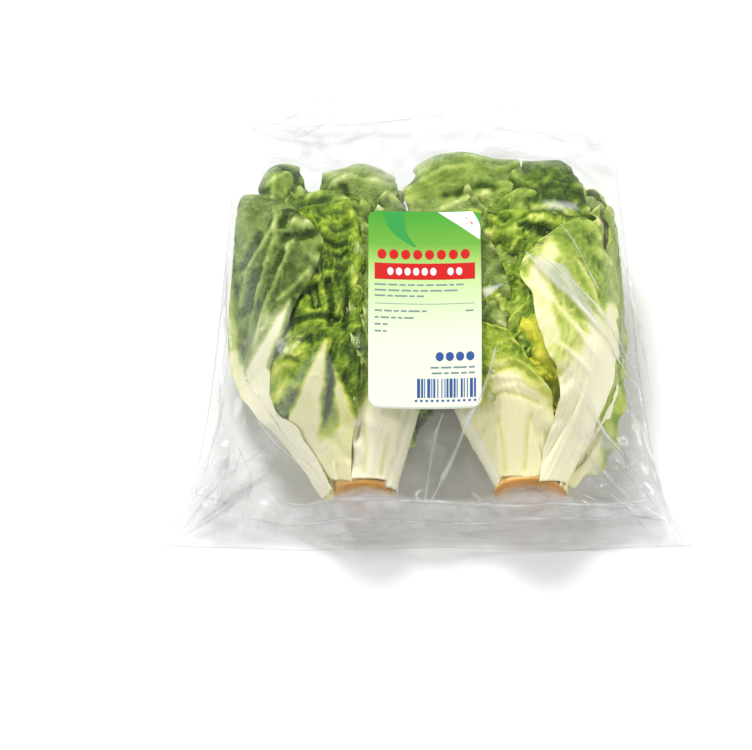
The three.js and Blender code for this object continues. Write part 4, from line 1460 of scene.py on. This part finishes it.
def film_material(settings):
    """Clear film with a thin gloss, milkier where its haze is higher: the milky white serves as painted highlight, and
    the greyer tint through it as painted shade, besides the film's own slight milkiness.
    """
    material, n = new_material("clear film")
    haze_and_painted_light, where = n.attribute("haze_and_painted_light"), n.place()
    crumple = n.add("ShaderNodeTexVoronoi", {"Vector": where, "Scale": 70.0}, feature="F1").outputs["Distance"]
    height = n.math("ADD", n.math("MULTIPLY", crumple, 0.5), n.noise(where, 45.0, 3.0))
    normal = n.bump(height, 0.35, 0.0008)
    # Where the haze holds painted light, less passes through: painted shade on what lies behind
    clear = n.add("ShaderNodeBsdfTransparent", {"Color": n.blend(haze_and_painted_light, (*settings.tint, 1.0), FILM_HAZE_AND_SHADE_TINT)})
    gloss = n.add("ShaderNodeBsdfGlossy", {"Roughness": settings.roughness, "Normal": normal})
    milky = n.add("ShaderNodeBsdfDiffuse", {"Color": FILM_MILK_AND_HIGHLIGHT})
    facing = n.add("ShaderNodeLayerWeight", {"Normal": normal}).outputs["Facing"]
    grazing = n.math("POWER", facing, 5.0)
    mirror = n.math("MULTIPLY_ADD", grazing, FILM_EDGE_SHINE - settings.shine, settings.shine)
    # Milky white diffuse where hazed: painted highlight as well as the film's own slight milkiness
    milk_and_painted_light = n.math("ADD", haze_and_painted_light, settings.haze_and_painted_light, clamp=True)
    veiled = n.mix_shaders(milk_and_painted_light, clear.outputs[0], milky.outputs[0])
    n.end(n.mix_shaders(mirror, veiled, gloss.outputs[0]))
    return material


def grain_group():
    """Fine grain between a light and a dark shade, for prints and floor."""
    group = bpy.data.node_groups.get("fine grain")
    if group:
        return group
    group = bpy.data.node_groups.new("fine grain", "ShaderNodeTree")
    for name, kind in (("Place", "Vector"), ("Scale", "Float"), ("Light", "Color"), ("Dark", "Color")):
        group.interface.new_socket(name, in_out="INPUT", socket_type=f"NodeSocket{kind}")
    group.interface.new_socket("Colour", in_out="OUTPUT", socket_type="NodeSocketColor")
    n = Nodes(group)
    given = n.add("NodeGroupInput").outputs
    noise = n.noise(given["Place"], given["Scale"])
    n.add("NodeGroupOutput", {"Colour": n.blend(noise, given["Light"], given["Dark"])})
    return group


def grained(n, colour, depth, scale):
    """A colour with fine grain that darkens it by up to depth."""
    node = n.add("ShaderNodeGroup", node_tree=grain_group())
    dark = (*(c * (1 - depth) for c in colour), 1.0)
    for name, value in (("Place", n.place()), ("Scale", scale), ("Light", (*colour, 1.0)), ("Dark", dark)):
        n.feed(node.inputs[name], value)
    return node.outputs["Colour"]


def print_material(name, colour):
    material, n = new_material(name)
    n.end_in_surface(grained(n, colour, 0.14, 900.0), 0.4)
    return material


def sticker_material():
    """White paper, printed green at its top, fading down to cream white."""
    material, n = new_material("sticker paper")
    split = n.add("ShaderNodeSeparateXYZ", {0: n.add("ShaderNodeUVMap").outputs[0]})
    field = n.ramp(split.outputs[1], (
        (0.0, (0.90, 0.96, 0.84)),
        (0.35, (0.80, 0.91, 0.68)),
        (0.62, (0.56, 0.76, 0.34)),
        (0.74, (0.33, 0.56, 0.13)),
        (0.82, (0.16, 0.41, 0.05)),
        (1.0, (0.06, 0.33, 0.04)),
    ))
    n.end_in_surface(field, 0.32)
    return material


def floor_material(settings):
    material, n = new_material("pale floor")
    n.end_in_surface(grained(n, settings.floor_colour, 0.015, 3.0), 0.8, {"Specular IOR Level": 0.1})
    return material


# ---------------------------------------------------------------- settings


class FilmSettings(bpy.types.PropertyGroup):
    """The clear film."""

    tint: FloatVectorProperty(
        name="Tint", description="Light that passes one layer of film", subtype="COLOR",
        default=(0.988, 0.989, 0.988), min=0.0, max=1.0,
    )
    roughness: FloatProperty(name="Roughness", description="Blur of its reflections", default=0.12, min=0.0, max=1.0)
    shine: FloatProperty(name="Shine", description="Share of light it mirrors, seen straight on", default=0.022)
    haze_and_painted_light: FloatProperty(name="Haze", description="Milkiness of smooth film", default=0.004, subtype="FACTOR")


class StageSettings(bpy.types.PropertyGroup):
    """Camera, floor and lights."""

    elevation: FloatProperty(
        name="Elevation", description="Camera's angle above the table", subtype="ANGLE", default=math.radians(72)
    )
    distance: FloatProperty(
        name="Distance", description="From camera to its aim", unit="LENGTH", subtype="DISTANCE", default=1.5
    )
    view_width: FloatProperty(
        name="View width", description="Width of table in view", unit="LENGTH", subtype="DISTANCE", default=0.3384
    )
    aim: FloatVectorProperty(
        name="Aim", description="Point that the camera looks at", subtype="TRANSLATION", default=(-0.0225, -0.0229, 0)
    )
    floor_colour: FloatVectorProperty(
        name="Floor", description="Colour of the floor", subtype="COLOR", default=(0.9, 0.9, 0.9)
    )
    world_light: FloatProperty(name="Room light", description="Strength of the even light", default=0.28)
    key_light: FloatProperty(name="Key light", description="Power of the light above, in watts", default=15.0)


# Each lamp's name, place, height it aims at, size, share of the key light, and whether it mirrors in the film
LAMPS = (
    ("key", (-0.22, 0.85, 0.9), 0.02, (0.45, 0.3), 1.0, False),
    ("front_fill", (0.1, -1.2, 0.42), 0.02, (0.8, 0.4), 0.24, False),
    ("left_strip", (-0.9, -0.1, 0.6), 0.03, (0.12, 0.8), 0.28, True),
    ("right_strip", (0.9, 0.05, 0.6), 0.03, (0.12, 0.8), 0.33, True),
)
SENSOR_WIDTH = 36.0


class SALAD_OT_stage(bpy.types.Operator):
    """Set out the floor, the lights and the camera"""

    bl_idname = "salad_pack.stage"
    bl_label = "Stage"

    def execute(self, context):
        settings = context.scene.salad_stage
        clear_selection()
        bpy.ops.mesh.primitive_plane_add(size=8.0, location=(0, 0, 0))
        floor = context.object
        floor.name = "floor"
        floor.data.transform(floor.matrix_world)
        floor.data.transform(Matrix.Translation((0, 0, -0.4 * MM)))
        floor.data.materials.append(floor_material(settings))
        context.scene.view_settings.view_transform = "Standard"
        world = context.scene.world or bpy.data.worlds.new("studio")
        context.scene.world = world
        world.use_nodes = True
        background = world.node_tree.nodes.get("Background")
        background.inputs[0].default_value = (1.0, 1.0, 1.0, 1.0)
        background.inputs[1].default_value = settings.world_light
        for name, place, aim_height, size, share, in_reflections in LAMPS:
            self.lamp(name, place, aim_height, size, settings.key_light * share).visible_glossy = in_reflections
        aim = Vector(settings.aim)
        away = Vector((0, -math.cos(settings.elevation), math.sin(settings.elevation)))
        bpy.ops.object.camera_add(location=aim + away * settings.distance)
        camera = context.object
        camera.name = "camera"
        camera.rotation_mode = "QUATERNION"
        camera.rotation_quaternion = (-away).to_track_quat("-Z", "Y")
        camera.data.sensor_width = SENSOR_WIDTH
        camera.data.lens = SENSOR_WIDTH * settings.distance / settings.view_width
        camera.data.clip_end = 50.0
        context.scene.camera = camera
        return {"FINISHED"}

    @staticmethod
    def lamp(name, place, aim_height, size, power):
        clear_selection()
        bpy.ops.object.light_add(type="AREA", location=place)
        lamp = bpy.context.object
        lamp.name = name
        lamp.data.shape = "RECTANGLE"
        lamp.data.size, lamp.data.size_y = size
        lamp.data.energy = power
        lamp.rotation_mode = "QUATERNION"
        lamp.rotation_quaternion = (Vector((0, 0, aim_height)) - Vector(place)).to_track_quat("-Z", "Y")
        return lamp


class SALAD_OT_hearts(bpy.types.Operator):
    """Grow both hearts leaf by leaf, with their inner leaves and cut stems"""

    bl_idname = "salad_pack.hearts"
    bl_label = "Romaine hearts"

    def execute(self, context):
        leaf_look, stem_look = leaf_material(), stem_material()
        for heart, leaves, blades in ((LEFT, LEFT_LEAVES, LEFT_BLADES), (RIGHT, RIGHT_LEAVES, RIGHT_BLADES)):
            make_core(heart, leaf_look)
            for number, leaf in enumerate(leaves):
                make_leaf(heart, leaf, number, leaf_look)
            for number, blade in enumerate(blades):
                make_blade(heart, blade, number, leaf_look)
            make_stem(heart, stem_look)
        return {"FINISHED"}


class SALAD_OT_film(bpy.types.Operator):
    """Stretch the clear film over the hearts"""

    bl_idname = "salad_pack.film"
    bl_label = "Film bag"

    def execute(self, context):
        look = film_material(context.scene.salad_film)
        make_film(look)
        make_creases(look)
        return {"FINISHED"}


class SALAD_OT_sticker(bpy.types.Operator):
    """Put on the sticker and its print"""

    bl_idname = "salad_pack.sticker"
    bl_label = "Sticker"

    def execute(self, context):
        make_sticker(sticker_material())
        for name, fields, look, colour, slot in PRINTS:
            finish_print(name, fields(), print_material(look, colour), slot)
        return {"FINISHED"}


class SALAD_PT_panel(bpy.types.Panel):
    """Buttons that build the pack"""

    bl_idname = "SALAD_PT_panel"
    bl_label = "Romaine hearts pack"
    bl_space_type = "VIEW_3D"
    bl_region_type = "UI"
    bl_category = "Salad pack"

    def draw(self, context):
        for step in STEPS:
            self.layout.operator(step.bl_idname)
        for settings in (context.scene.salad_film, context.scene.salad_stage):
            box = self.layout.box()
            for key in settings.__annotations__:
                box.prop(settings, key)


STEPS = (SALAD_OT_stage, SALAD_OT_hearts, SALAD_OT_sticker, SALAD_OT_film)
CLASSES = (FilmSettings, StageSettings, *STEPS, SALAD_PT_panel)


def register():
    for kind in CLASSES:
        bpy.utils.register_class(kind)
    bpy.types.Scene.salad_film = PointerProperty(type=FilmSettings)
    bpy.types.Scene.salad_stage = PointerProperty(type=StageSettings)


def unregister():
    del bpy.types.Scene.salad_stage
    del bpy.types.Scene.salad_film
    for kind in reversed(CLASSES):
        bpy.utils.unregister_class(kind)


def main():
    register()
    bpy.ops.salad_pack.stage()
    bpy.ops.salad_pack.hearts()
    bpy.ops.salad_pack.sticker()
    bpy.ops.salad_pack.film()


if __name__ == "__main__":
    main()
